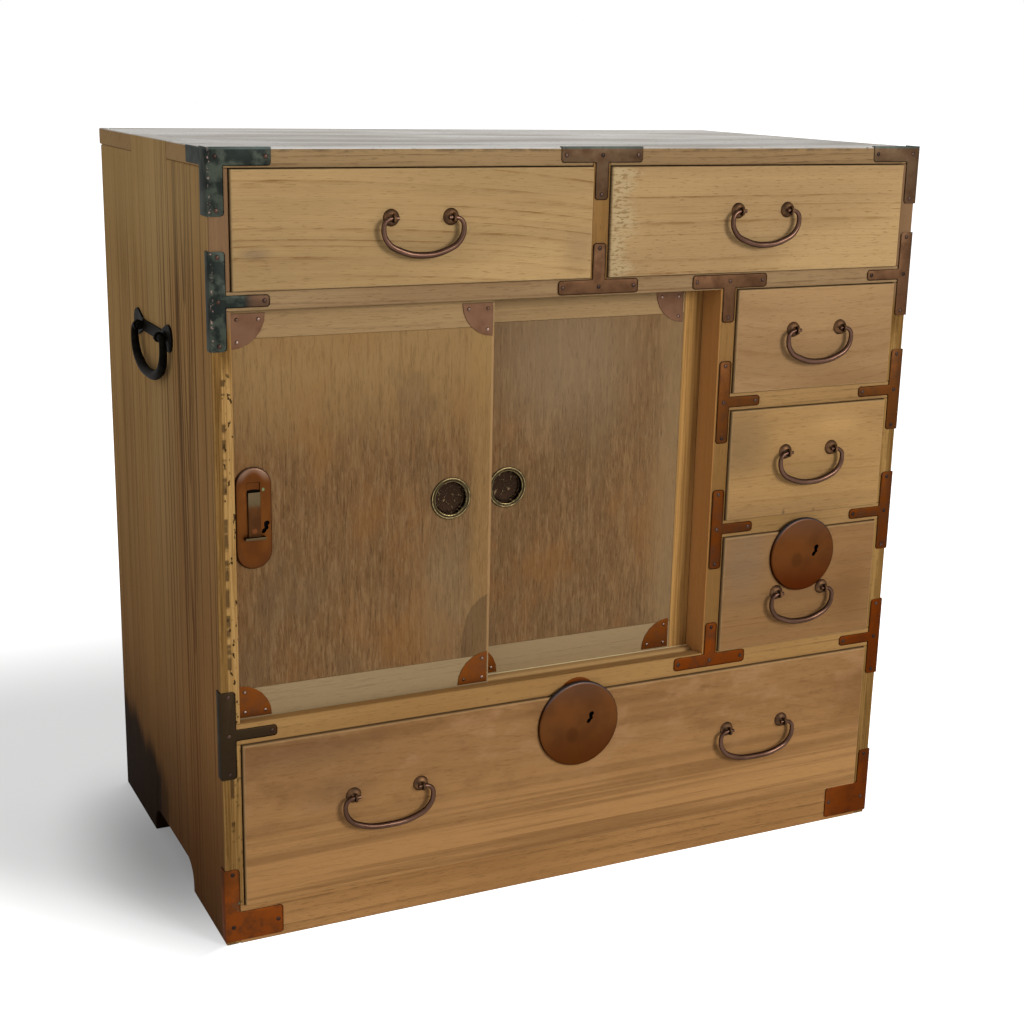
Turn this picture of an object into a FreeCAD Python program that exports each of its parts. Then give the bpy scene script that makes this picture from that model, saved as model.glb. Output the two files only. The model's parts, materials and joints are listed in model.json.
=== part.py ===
import FreeCAD, Part
import math
import os
import Sketcher

# A small Japanese chest of light wood: two drawers on top, a cupboard with two sliding
# doors beside three small drawers, and one wide drawer at the bottom. Copper plates are
# nailed over the joints, each drawer has swinging bails, and each side has a carrying bail.
# The frame: +X to the right, +Y to the back, +Z up, with the floor at Z = 0 and the origin
# under the middle of the whole object.

SIZES = (
    ("case_width", 762), ("case_depth", 415), ("side_board", 18.5), ("top_board", 17),
    ("top_overhang", 6), ("back_board", 10), ("back_lap", 6), ("housing", 5), ("front_finger", 137),
    ("middle_finger", 140),
    ("upper_shelf_board", 17), ("lower_shelf_board", 21), ("small_shelf_board", 18.25),
    ("bottom_board", 8), ("rail_height", 40.5), ("rail_board", 18), ("divider_board", 18.5),
    ("top_left_opening", 357.5), ("cupboard_opening", 509),
    ("top_drawer_opening", 106.5), ("upper_drawer_opening", 107.25),
    ("middle_drawer_opening", 117.75), ("lower_drawer_opening", 127.5),
    ("bottom_drawer_opening", 167),
    ("arch_start", 120), ("arch_length", 157), ("arch_height", 30), ("arch_corner", 22),
    ("drawer_proud", 4), ("drawer_front", 18), ("front_edge_bevel", 1.2),
    ("front_gap", 0.9), ("running_gap", 0.3), ("drawer_board", 9), ("drawer_bottom", 6),
    ("drawer_lap", 9), ("bottom_rise", 6), ("bottom_groove", 4), ("side_drop", 3),
    ("drawer_back_gap", 17),
    ("door_board", 9), ("door_recess", 12), ("door_spacing", 11.7), ("door_overlap", 15),
    ("door_end_gap", 0.5), ("track_play", 0.3), ("lower_track", 3), ("upper_track", 8),
    ("door_lower_entry", 2.6), ("door_upper_entry", 4), ("top_cleat", 27),
    ("bottom_cleat", 29.5), ("edge_strip", 22), ("cleat_tongue", 6), ("cleat_tongue_board", 3),
    ("door_corner_radius", 32), ("door_plate", 0.8), ("corner_side", 2), ("corner_foot", 1),
    ("corner_head", 4),
    ("pull_radius", 21), ("pull_rim", 3.2), ("pull_proud", 1.2), ("pull_depth", 6),
    ("pull_wall", 0.9), ("left_pull_inset", 43.6), ("right_pull_inset", 41.7), ("pull_height", 196),
    ("oval_width", 35), ("oval_height", 97), ("oval_plate", 3.2), ("oval_inset", 19.3),
    ("oval_rise", 196), ("latch_width", 12), ("latch_height", 42), ("latch_plate", 2),
    ("latch_lip", 6), ("latch_lip_width", 20), ("latch_lip_thick", 2.6), ("latch_travel", 6),
    ("latch_gap", 0.1), ("latch_slot", 3), ("latch_tail", 4), ("oval_bevel", 1.2),
    ("metal_plate", 1), ("plate_arm", 57), ("edge_leg", 44), ("plate_width", 14),
    ("shelf_plate", 11), ("plate_wrap", 11), ("top_fold", 4), ("plate_corner", 2),
    ("corner_leg", 58), ("top_side_arm", 64), ("top_plate_wrap", 21),
    ("foot_leg", 76), ("foot_plate", 30), ("right_foot_plate", 36), ("foot_clear", 4),
    ("divider_arm", 44), ("divider_leg", 35),
    ("nail_radius", 2.2), ("nail_head", 0.7), ("nail_inset", 5),
    ("handle_span", 59), ("handle_half_width", 39.5), ("handle_drop", 34),
    ("wide_handle_span", 71), ("wide_handle_half_width", 46.5), ("wide_handle_drop", 35),
    ("handle_rod", 6.2), ("handle_tip", 3.8), ("handle_hook", 8.4), ("handle_shoulder", 18),
    ("tip_reach", 5), ("eye_height", 7.4), ("eye_radius", 4.6), ("eye_width", 2.6),
    ("eye_neck", 2.4),
    ("rosette_radius", 8), ("rosette_top", 5.6), ("rosette_edge", 1), ("rosette_dome", 2.6),
    ("pivot_play", 0.06),
    ("top_handle_height", 62), ("upper_handle_height", 63.5), ("middle_handle_height", 69.8),
    ("lower_handle_height", 59.5), ("bottom_handle_height", 97.5), ("wide_handle_inset", 146.5),
    ("carry_height", 572), ("carry_span", 84), ("carry_half_width", 57.4), ("carry_drop", 42.4),
    ("carry_rod", 10), ("carry_tip", 5), ("carry_hook", 9), ("carry_shoulder", 30),
    ("carry_tip_reach", 6.5), ("carry_plate", 2), ("carry_eye_height", 7.4),
    ("carry_eye_radius", 5.2), ("carry_eye_width", 4), ("carry_eye_neck", 3.2),
    ("carry_rosette", 6.5), ("carry_rosette_top", 5), ("carry_rosette_edge", 0.7),
    ("carry_rosette_dome", 1.4), ("carry_lobe_reach", 61), ("carry_lobe", 13.5),
    ("carry_waist", 5), ("carry_belly", 6.5), ("carry_forward", 7),
    ("wide_disc_radius", 46), ("small_disc_radius", 40.5), ("disc_edge", 2.4), ("disc_dome", 4.4),
    ("wide_disc_height", 134.2), ("wide_disc_offset", 4.3), ("small_disc_height", 99.9),
    ("keyhole_width", 3), ("keyhole_height", 9), ("wide_keyhole_side", 13.6),
    ("wide_keyhole_rise", 6), ("small_keyhole_side", 15.6), ("small_keyhole_rise", 4),
    ("lock_width", 46), ("lock_height", 40), ("lock_thick", 11), ("lock_wall", 2),
    ("bolt_width", 20), ("bolt_travel", 6), ("bolt_gap", 0.3), ("lock_drop", 2),
    ("keeper_radius", 23), ("keeper_rise", 16),
)

doc = FreeCAD.newDocument("chest")
sheet = doc.addObject("Spreadsheet::Sheet", "sizes")


class Length:
    """A length that knows its value and the sheet formula that gives it."""

    def __init__(self, value, text):
        self.value = value
        self.text = text

    def __add__(self, other):
        other = length(other)
        return Length(self.value + other.value, f"({self.text} + {other.text})")

    def __sub__(self, other):
        other = length(other)
        return Length(self.value - other.value, f"({self.text} - {other.text})")

    def __mul__(self, factor):
        return Length(self.value * factor, f"({self.text} * {factor})")

    def __truediv__(self, factor):
        return Length(self.value / factor, f"({self.text} / {factor})")

    def __neg__(self):
        return Length(-self.value, f"(-1 * {self.text})")

    __radd__ = __add__

    def __rsub__(self, other):
        return length(other) - self


def length(value):
    return value if isinstance(value, Length) else Length(value, repr(value))


class Sizes:
    """The sheet's cells as Length values, by their aliases."""

    def __init__(self):
        for row, (alias, value) in enumerate(SIZES, start=1):
            sheet.set(f"A{row}", alias)
            sheet.set(f"B{row}", str(value))
            sheet.setAlias(f"B{row}", alias)
            setattr(self, alias, Length(value, f"sizes.{alias}"))


d = Sizes()
doc.recompute()
zero = length(0)

# ---------------------------------------------------------------- places in the case

front_reach = d.drawer_proud + d.eye_height + d.handle_rod / 2
face = (front_reach - d.case_depth - d.top_overhang) / 2   # Y of the front edges of the boards
back = face + d.case_depth
left = -d.case_width / 2
right = d.case_width / 2
inner_left = left + d.side_board
inner_right = right - d.side_board
board_back = back - d.back_board

shelf_low = d.rail_height + d.bottom_drawer_opening
shelf_low_top = shelf_low + d.lower_shelf_board
shelf_three = shelf_low_top + d.lower_drawer_opening
shelf_three_top = shelf_three + d.small_shelf_board
shelf_two = shelf_three_top + d.middle_drawer_opening
shelf_two_top = shelf_two + d.small_shelf_board
shelf_up = shelf_two_top + d.upper_drawer_opening
shelf_up_top = shelf_up + d.upper_shelf_board
side_top = shelf_up_top + d.top_drawer_opening
case_top = side_top + d.top_board

top_divider_left = inner_left + d.top_left_opening
top_divider_right = top_divider_left + d.divider_board
cupboard_right = inner_left + d.cupboard_opening
small_left = cupboard_right + d.divider_board
board_underside = d.rail_height - d.bottom_board

nodes = {}


def node(name, made):
    """Gives the finished piece its name."""
    made.Label = name
    nodes[name] = made
    return made


def bind(made, **formulas):
    for name, formula in formulas.items():
        made.setExpression(name.replace("__", "."), length(formula).text)


def place(made, x=zero, y=zero, z=zero, turn=None):
    if turn:
        axis, angle = turn
        made.Placement = FreeCAD.Placement(FreeCAD.Vector(), FreeCAD.Rotation(axis, angle))
    bind(made, Placement__Base__x=x, Placement__Base__y=y, Placement__Base__z=z)
    return made


def box(name, x, y, z):
    """A plain board between two places along each axis."""
    made = doc.addObject("Part::Box", name)
    bind(made, Length=x[1] - x[0], Width=y[1] - y[0], Height=z[1] - z[0])
    return place(made, x[0], y[0], z[0])


def cut(name, base, tools):
    """Takes each tool out of the board in turn."""
    for number, tool in enumerate(tools):
        step = doc.addObject("Part::Cut", f"{name}_cut_{number}")
        step.Base = base
        step.Tool = tool
        base = step
    return base


def prism(name, sides, radius, height):
    """A straight prism on a regular outline, its corners at the radius."""
    made = doc.addObject("Part::Prism", name)
    made.Polygon = sides
    bind(made, Circumradius=radius, Height=height)
    return made


def group(name, pieces):
    made = doc.addObject("Part::Compound", name)
    made.Links = pieces
    return made


# ---------------------------------------------------------------- sketched pieces

PLANES = {"XY": "XY_Plane", "XZ": "XZ_Plane", "YZ": "YZ_Plane"}
UP = FreeCAD.Vector(0, 0, 1)
ACROSS = FreeCAD.Vector(1, 0, 0)


def sketch(body, name, plane, level, outlines=(), circles=()):
    """Closed outlines and circles on one of the body's planes, level along its normal."""
    made = body.newObject("Sketcher::SketchObject", name)
    wanted = [item for item in body.Origin.OriginFeatures if item.Role == PLANES[plane]]
    made.AttachmentSupport = [(wanted[0], "")]
    made.MapMode = "FlatFace"
    bind(made, AttachmentOffset__Base__z=level)
    for points in outlines:
        first = made.GeometryCount
        count = len(points)
        vectors = [FreeCAD.Vector(length(u).value, length(v).value, 0) for u, v in points]
        for number in range(count):
            made.addGeometry(Part.LineSegment(vectors[number], vectors[(number + 1) % count]))
        for number, (u, v) in enumerate(points):
            following = first + (number + 1) % count
            made.addConstraint(Sketcher.Constraint("Coincident", first + number, 2, following, 1))
            pin(made, "DistanceX", first + number, 1, length(u))
            pin(made, "DistanceY", first + number, 1, length(v))
    for u, v, radius in circles:
        u, v, radius = length(u), length(v), length(radius)
        centre = FreeCAD.Vector(u.value, v.value, 0)
        line = made.addGeometry(Part.Circle(centre, UP, radius.value))
        pin(made, "DistanceX", line, 3, u)
        pin(made, "DistanceY", line, 3, v)
        number = made.addConstraint(Sketcher.Constraint("Radius", line, radius.value))
        made.setExpression(f"Constraints[{number}]", radius.text)
    return made


def pin(made, kind, line, end, formula):
    """Holds one point of a sketch at its place from the origin."""
    number = made.addConstraint(Sketcher.Constraint(kind, -1, 1, line, end, formula.value))
    made.setExpression(f"Constraints[{number}]", formula.text)


def pad(body, profile, thickness, reverse=False):
    made = body.newObject("PartDesign::Pad", profile.Name + "_pad")
    made.Profile = profile
    made.Reversed = reverse
    bind(made, Length=thickness)
    return made


def pocket(body, profile, depth=None, reverse=False):
    """A cut to a depth, or right through both ways where no depth is given."""
    made = body.newObject("PartDesign::Pocket", profile.Name + "_pocket")
    made.Profile = profile
    made.Reversed = reverse
    if depth is None:
        made.Type = "ThroughAll"
        made.Midplane = True
    else:
        bind(made, Length=depth)
    return made


def rounded(body, radius, chosen):
    """Rounds the edges of the body's last feature that the chosen test accepts."""
    doc.recompute(body.Group)
    base = body.Tip
    edges = [f"Edge{number}" for number, edge in enumerate(base.Shape.Edges, start=1)
             if chosen(edge)]
    made = body.newObject("PartDesign::Fillet", body.Name + "_round")
    made.Base = (base, edges)
    bind(made, Radius=radius)
    return made


def bevelled(body, size, chosen):
    """Bevels the edges of the body's last feature that the chosen test accepts."""
    doc.recompute(body.Group)
    base = body.Tip
    edges = [f"Edge{number}" for number, edge in enumerate(base.Shape.Edges, start=1)
             if chosen(edge)]
    made = body.newObject("PartDesign::Chamfer", body.Name + "_bevel")
    made.Base = (base, edges)
    bind(made, Size=size)
    return made


def arc(radius, start, end, steps, u=zero, v=zero):
    """Points along an arc, with as many straight steps as are asked for."""
    angles = [math.radians(start + (end - start) * step / steps) for step in range(steps + 1)]
    return [(u + radius * round(math.cos(angle), 6), v + radius * round(math.sin(angle), 6))
            for angle in angles]


def rectangle(u, v):
    return [(u[0], v[0]), (u[1], v[0]), (u[1], v[1]), (u[0], v[1])]


def near(value, wanted):
    return abs(value - length(wanted).value) < 0.01


def runs_along(edge, axis):
    """True for a straight edge that runs along the named axis."""
    if len(edge.Vertexes) != 2:
        return False
    way = edge.Vertexes[1].Point - edge.Vertexes[0].Point
    return abs(abs(getattr(way, axis)) - way.Length) < 0.001 and abs(edge.Length - way.Length) < 0.001


# ---------------------------------------------------------------- case

finger_run = (face + d.front_finger, face + d.front_finger + d.middle_finger)


def side(name, outer, inner, shelves):
    """One side board: its foot arch, its middle finger and the housings of what it carries."""
    body = doc.addObject("PartDesign::Body", name)
    low = min((outer, inner), key=lambda place: place.value)
    arch_front = face + d.arch_start
    arch_back = arch_front + d.arch_length
    outline = [(face, zero), (arch_front, zero), (arch_front, d.arch_height),
               (arch_back, d.arch_height), (arch_back, zero), (back, zero), (back, side_top),
               (finger_run[1], side_top), (finger_run[1], case_top), (finger_run[0], case_top),
               (finger_run[0], side_top), (face, side_top)]
    pad(body, sketch(body, name + "_outline", "YZ", low, [outline]), d.side_board)
    rounded(body, d.arch_corner,
            lambda edge: runs_along(edge, "x") and near(edge.CenterOfMass.z, d.arch_height))
    housings = [rectangle((face, board_back), heights) for heights in shelves]
    housings.append(rectangle((face, face + d.rail_board), (zero, d.rail_height)))
    inward = inner.value > outer.value
    profile = sketch(body, name + "_housings", "YZ", inner, housings)
    pocket(body, profile, d.housing, reverse=not inward)
    lap = rectangle((board_back, back), (board_underside, side_top))
    profile = sketch(body, name + "_lap", "YZ", inner, [lap])
    pocket(body, profile, d.back_lap, reverse=not inward)
    return node(name, body)


wide_shelves = [(shelf_low, shelf_low_top), (shelf_up, shelf_up_top)]
small_shelves = [(shelf_three, shelf_three_top), (shelf_two, shelf_two_top)]
side("left_side_board", left, inner_left, wide_shelves)
side("right_side_board", right, inner_right, wide_shelves + small_shelves)

node("top_board", cut("top_board", box("top_blank", (left, right), (face, back + d.top_overhang),
                                       (side_top, case_top)), [
    box("left_finger_notch", (left, inner_left), finger_run, (side_top, case_top)),
    box("right_finger_notch", (inner_right, right), finger_run, (side_top, case_top)),
    box("top_divider_housing", (top_divider_left, top_divider_right), (face, board_back),
        (side_top, side_top + d.housing))]))

front_track = face + d.door_recess - d.track_play
rear_track = front_track + d.door_board + d.door_spacing
track_width = d.door_board + d.track_play * 2
shelf_run = (inner_left - d.housing, inner_right + d.housing)
cupboard_run = (inner_left, cupboard_right)


def tracks(name, low, high):
    """The two door grooves of a shelf."""
    return [box(f"{name}_{which}", cupboard_run, (start, start + track_width), (low, high))
            for which, start in (("front_track", front_track), ("rear_track", rear_track))]


lock_back = face - d.drawer_proud + d.drawer_front
bolt_run = (lock_back + d.lock_wall, lock_back + d.lock_thick - d.lock_wall)
wide_disc_x = (inner_left + inner_right) / 2 - d.wide_disc_offset
small_disc_x = (small_left + inner_right) / 2


def mortise(name, centre, underside):
    """The slot in the shelf above a drawer that the lock's bolt rises into."""
    half = d.bolt_width / 2 + d.bolt_gap
    return box(name, (centre - half, centre + half),
               (bolt_run[0] - d.bolt_gap, bolt_run[1] + d.bolt_gap),
               (underside, underside + d.bolt_travel + d.bolt_gap))


node("upper_shelf", cut("upper_shelf", box("upper_shelf_blank", shelf_run, (face, board_back),
                                           (shelf_up, shelf_up_top)),
     tracks("upper", shelf_up, shelf_up + d.upper_track)
     + [box("upper_divider_housing", (top_divider_left, top_divider_right), (face, board_back),
            (shelf_up_top - d.housing, shelf_up_top)),
        box("upper_cupboard_housing", (cupboard_right, small_left), (face, board_back),
            (shelf_up, shelf_up + d.housing))]))
node("lower_shelf", cut("lower_shelf", box("lower_shelf_blank", shelf_run, (face, board_back),
                                           (shelf_low, shelf_low_top)),
     tracks("lower", shelf_low_top - d.lower_track, shelf_low_top)
     + [box("lower_cupboard_housing", (cupboard_right, small_left), (face, board_back),
            (shelf_low_top - d.housing, shelf_low_top)),
        mortise("wide_mortise", wide_disc_x, shelf_low)]))
small_run = (small_left - d.housing, inner_right + d.housing)
node("upper_small_shelf", box("upper_small_shelf", small_run, (face, board_back),
                              (shelf_two, shelf_two_top)))
node("lower_small_shelf", cut("lower_small_shelf", box("lower_small_blank", small_run,
                                                       (face, board_back),
                                                       (shelf_three, shelf_three_top)),
     [mortise("small_mortise", small_disc_x, shelf_three)]))
node("bottom_board", box("bottom_board", (inner_left, inner_right),
                         (face + d.rail_board, board_back), (board_underside, d.rail_height)))
node("base_rail", box("base_rail", shelf_run, (face, face + d.rail_board), (zero, d.rail_height)))
node("top_divider", box("top_divider", (top_divider_left, top_divider_right), (face, board_back),
                        (shelf_up_top - d.housing, side_top + d.housing)))
node("cupboard_divider", cut("cupboard_divider",
     box("cupboard_divider_blank", (cupboard_right, small_left), (face, board_back),
         (shelf_low_top - d.housing, shelf_up + d.housing)),
     [box(f"divider_housing_{number}", (small_left - d.housing, small_left),
          (face, board_back), heights) for number, heights in enumerate(small_shelves)]))

back_run = (inner_left - d.back_lap, inner_right + d.back_lap)
BACK_BOARDS = 3
back_step = (side_top - board_underside) / BACK_BOARDS
node("back_boards", group("back_boards", [
    box(f"back_board_{number}", back_run, (board_back, back),
        (board_underside + back_step * number, board_underside + back_step * (number + 1)))
    for number in range(BACK_BOARDS)]))

# ---------------------------------------------------------------- copper plates

nails = []
NAIL_SIDES = 6
DISC_SIDES = 32


def nail(x, z):
    """The low forged head of one nail, on the front of a plate."""
    made = prism(f"nail_{len(nails)}", NAIL_SIDES, d.nail_radius, d.nail_head)
    nails.append(place(made, x, face - d.metal_plate, z, turn=(ACROSS, 90)))


def at_end(edge, ends):
    """True at an outward corner of the plate's face."""
    spot = edge.CenterOfMass
    return any(abs(spot.x - u) < 0.01 and abs(spot.z - v) < 0.01 for u, v in ends)


def ell(name, hand, corner_z, leg_z, arm_low, arm_high, wrap):
    """A corner plate: a leg down or up the side board and an arm along the rail."""
    outer = (right if hand > 0 else left) + d.metal_plate * hand
    inner = (right if hand > 0 else left) - d.plate_width * hand
    inner_z = arm_low if leg_z.value < corner_z.value else arm_high
    arm_end = (right if hand > 0 else left) - d.plate_arm * hand
    top = corner_z.value > d.carry_height.value
    edge_z = case_top + d.metal_plate if top else corner_z
    outline = [(outer, edge_z), (arm_end, edge_z), (arm_end, inner_z), (inner, inner_z),
               (inner, leg_z), (outer, leg_z)]
    body = doc.addObject("PartDesign::Body", name)
    pad(body, sketch(body, name + "_face", "XZ", -face, [outline]), d.metal_plate)
    ends = [(arm_end.value, inner_z.value), (inner.value, leg_z.value)]
    if not top:
        ends.append((arm_end.value, edge_z.value))
    bevelled(body, d.plate_corner, lambda edge: runs_along(edge, "y") and at_end(edge, ends))
    heights = (min((edge_z, leg_z), key=lambda place: place.value),
               max((edge_z, leg_z), key=lambda place: place.value))
    profile = rectangle((face - d.metal_plate, face + wrap), heights)
    start = right if hand > 0 else left - d.metal_plate
    pad(body, sketch(body, name + "_flange", "YZ", start, [profile]), d.metal_plate)
    if top:
        profile = rectangle((face + wrap, face + d.top_side_arm), (arm_low, arm_high))
        pad(body, sketch(body, name + "_side_arm", "YZ", start, [profile]), d.metal_plate)
        run = (outer, arm_end) if hand < 0 else (arm_end, outer)
        profile = rectangle(run, (face - d.metal_plate, face + d.top_fold))
        pad(body, sketch(body, name + "_fold", "XY", case_top, [profile]), d.metal_plate)
    middle = (inner_z + edge_z) / 2
    post = (right if hand > 0 else left) - d.plate_width * hand / 2
    nail(arm_end + d.nail_inset * hand, middle)
    nail(post, middle)
    nail(post, leg_z + d.nail_inset * (1 if top else -1))
    return body


foot_top = d.foot_clear + d.foot_leg
corner_plates = [
    ell("top_left_plate", -1, case_top, case_top - d.corner_leg, side_top + 2, case_top,
        d.top_plate_wrap),
    ell("top_right_plate", 1, case_top, case_top - d.corner_leg, side_top + 2, case_top,
        d.top_plate_wrap),
    ell("foot_left_plate", -1, d.foot_clear, foot_top, d.foot_clear,
        d.foot_clear + d.foot_plate, d.plate_wrap),
    ell("foot_right_plate", 1, d.foot_clear, foot_top, d.foot_clear,
        d.foot_clear + d.right_foot_plate, d.plate_wrap),
]
node("corner_plates", group("corner_plates", corner_plates))


def tee(name, outline, ends):
    """A flat plate of one arm and one leg, its free corners cut off."""
    body = doc.addObject("PartDesign::Body", name)
    pad(body, sketch(body, name + "_face", "XZ", -face, [outline]), d.metal_plate)
    spots = [(u.value, v.value) for u, v in ends]
    bevelled(body, d.plate_corner, lambda edge: runs_along(edge, "y") and at_end(edge, spots))
    return body


def edge_tee(name, hand, middle):
    """A tee on the side board's edge with its arm on the shelf, bent round the side."""
    edge = right if hand > 0 else left
    outer = edge + d.metal_plate * hand
    inner = edge - d.plate_width * hand
    end = edge - d.plate_arm * hand + 3 * hand
    low, high = middle - d.shelf_plate / 2, middle + d.shelf_plate / 2
    bottom, top = middle - d.edge_leg, middle + d.edge_leg
    outline = [(outer, bottom), (outer, top), (inner, top), (inner, high), (end, high),
               (end, low), (inner, low), (inner, bottom)]
    body = tee(name, outline, [(inner, top), (inner, bottom), (end, high), (end, low)])
    profile = rectangle((face - d.metal_plate, face + d.plate_wrap), (bottom, top))
    start = right if hand > 0 else left - d.metal_plate
    pad(body, sketch(body, name + "_flange", "YZ", start, [profile]), d.metal_plate)
    post = edge - d.plate_width * hand / 2
    nail(end + d.nail_inset * hand, middle)
    nail(post, middle)
    nail(post, top - d.nail_inset)
    nail(post, bottom + d.nail_inset)
    return body


def between(pair):
    return (pair[0] + pair[1]) / 2


middle_up = between((shelf_up, shelf_up_top))
middle_low = between((shelf_low, shelf_low_top))
node("edge_plates", group("edge_plates", [
    edge_tee("left_upper_tee", -1, middle_up), edge_tee("left_lower_tee", -1, middle_low),
    edge_tee("right_upper_tee", 1, middle_up), edge_tee("right_second_tee", 1,
                                                        between(small_shelves[1])),
    edge_tee("right_third_tee", 1, between(small_shelves[0])),
    edge_tee("right_lower_tee", 1, middle_low)]))


def shelf_tee(name, centre, middle, rises):
    """A tee whose arm lies along a shelf and whose leg runs on the divider, up or down."""
    half = d.plate_width / 2
    low, high = middle - d.plate_width / 2, middle + d.plate_width / 2
    near_side, far_side = (high, low) if rises else (low, high)
    leg_end = near_side + (d.divider_leg if rises else -d.divider_leg)
    one, other = centre - d.divider_arm, centre + d.divider_arm
    outline = [(one, far_side), (other, far_side), (other, near_side), (centre + half, near_side),
               (centre + half, leg_end), (centre - half, leg_end), (centre - half, near_side),
               (one, near_side)]
    corners = [(one, far_side), (other, far_side), (other, near_side), (one, near_side),
               (centre + half, leg_end), (centre - half, leg_end)]
    nail(one + d.nail_inset, middle)
    nail(other - d.nail_inset, middle)
    nail(centre, middle)
    nail(centre, leg_end + d.nail_inset * (-1 if rises else 1))
    return tee(name, outline, corners)


def divider_tee(name, middle):
    """A tee whose leg runs on the cupboard divider, with one arm on a small shelf."""
    centre = between((cupboard_right, small_left))
    half = d.plate_width / 2
    low, high = middle - d.shelf_plate / 2, middle + d.shelf_plate / 2
    bottom, top = middle - d.edge_leg + 1, middle + d.edge_leg - 1
    end = centre + d.divider_arm
    outline = [(centre - half, bottom), (centre - half, top), (centre + half, top),
               (centre + half, high), (end, high), (end, low), (centre + half, low),
               (centre + half, bottom)]
    corners = outline[:3] + [(end, high), (end, low), (centre + half, bottom)]
    nail(end - d.nail_inset, middle)
    nail(centre, middle)
    nail(centre, top - d.nail_inset)
    nail(centre, bottom + d.nail_inset)
    return tee(name, outline, corners)


def top_tee(name, centre):
    """The tee at the top of the middle divider, folded over the edge of the top."""
    half = d.plate_width / 2
    low, high = side_top + 3, case_top + d.metal_plate
    one, other = centre - d.divider_arm, centre + d.divider_arm
    leg_end = low - d.divider_leg
    outline = [(one, low), (one, high), (other, high), (other, low), (centre + half, low),
               (centre + half, leg_end), (centre - half, leg_end), (centre - half, low)]
    corners = [(one, low), (other, low), (centre + half, leg_end), (centre - half, leg_end)]
    body = tee(name, outline, corners)
    profile = rectangle((one, other), (face - d.metal_plate, face + d.top_fold))
    pad(body, sketch(body, name + "_fold", "XY", case_top, [profile]), d.metal_plate)
    middle = (low + case_top) / 2
    for x in (one + d.nail_inset, centre, other - d.nail_inset):
        nail(x, middle)
    nail(centre, leg_end + d.nail_inset)
    return body


top_divider_middle = between((top_divider_left, top_divider_right))
divider_middle = between((cupboard_right, small_left))
node("divider_plates", group("divider_plates", [
    top_tee("top_tee", top_divider_middle),
    shelf_tee("top_divider_foot_tee", top_divider_middle, middle_up, True),
    shelf_tee("cupboard_head_tee", divider_middle, middle_up, False),
    divider_tee("upper_divider_tee", between(small_shelves[1])),
    divider_tee("lower_divider_tee", between(small_shelves[0])),
    shelf_tee("cupboard_foot_tee", divider_middle, middle_low + 2, True)]))
node("plate_nails", group("plate_nails", nails))

keeper_centre = shelf_low + d.keeper_rise - d.keeper_radius
keeper = doc.addObject("Part::Common", "keeper_plate")
keeper.Base = place(prism("keeper_disc", DISC_SIDES, d.keeper_radius, d.metal_plate),
                    wide_disc_x, face, keeper_centre, turn=(ACROSS, 90))
keeper.Tool = box("keeper_field", (wide_disc_x - d.keeper_radius, wide_disc_x + d.keeper_radius),
                  (face - d.metal_plate, face), (shelf_low, shelf_low_top))
node("keeper_plate", keeper)

# ---------------------------------------------------------------- swinging bails

ROD_SIDES = 8
EYE_SIDES = 10


def solid_of_rings(rings):
    """A closed solid through rings of as many points each, with flat facets between them."""
    count = len(rings[0])
    faces = [flat_face(rings[0]), flat_face(rings[-1])]
    for one, other in zip(rings, rings[1:]):
        for corner in range(count):
            after = (corner + 1) % count
            faces.append(flat_face([one[corner], one[after], other[after]]))
            faces.append(flat_face([one[corner], other[after], other[corner]]))
    return Part.makeSolid(Part.makeShell(faces))


def flat_face(points):
    return Part.Face(Part.makePolygon(list(points) + [points[0]]))


def bail_line(span, half_width, drop, hook, shoulder, reach):
    """The rod's middle line as points with headings: tip, hook, shoulder, bottom and back."""
    sag = drop - hook
    bottom = ((half_width - shoulder) ** 2 + sag ** 2 - shoulder ** 2) / (2 * (sag - shoulder))
    meet = math.pi + math.atan2(bottom - sag, half_width - shoulder)
    arcs = ((hook - half_width, -hook, hook, math.pi / 2, math.pi, 3),
            (shoulder - half_width, -hook, shoulder, math.pi, meet, 3),
            (0, bottom - drop, bottom, meet, 1.5 * math.pi, 3))
    stations = [(reach - span / 2, 0, math.pi)]
    for x, z, radius, start, end, steps in arcs:
        for step in range(steps + 1):
            angle = start + (end - start) * step / steps
            spot = (x + radius * math.cos(angle), z + radius * math.sin(angle))
            if math.dist(spot, stations[-1][:2]) > 0.01:
                stations.append((*spot, angle + math.pi / 2))
    return stations + [(-x, z, -heading) for x, z, heading in reversed(stations[:-1])]


def bail(span, half_width, drop, rod, tip, hook, shoulder, reach):
    """A rod bent as a bail, thickest at the bottom, with thin tips that turn in the eyes."""
    stations = bail_line(span, half_width, drop, hook, shoulder, reach)
    runs = [0]
    for one, other in zip(stations, stations[1:]):
        runs.append(runs[-1] + math.dist(one[:2], other[:2]))
    straight, whole = runs[1], runs[-1]
    rings = []
    for (x, z, heading), run in zip(stations, runs):
        share = max(0, (min(run, whole - run) - straight) / (whole / 2 - straight))
        radius = (tip + (rod - tip) * math.sin(share * math.pi / 2)) / 2
        across = FreeCAD.Vector(-math.sin(heading), 0, math.cos(heading))
        ring = []
        for corner in range(ROD_SIDES):
            turn = (corner + 0.5) * 2 * math.pi / ROD_SIDES
            ring.append(FreeCAD.Vector(x, radius * math.sin(turn), z)
                        + across * (radius * math.cos(turn)))
        rings.append(ring)
    return solid_of_rings(rings)


def cell(alias):
    return float(sheet.get(alias))


def bail_piece(name, shape, x, y, z, quarter_turn=0):
    made = doc.addObject("Part::Feature", name)
    made.Shape = shape
    place(made, x, y, z, turn=(UP, quarter_turn) if quarter_turn else None)
    return node(name, made)


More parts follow.
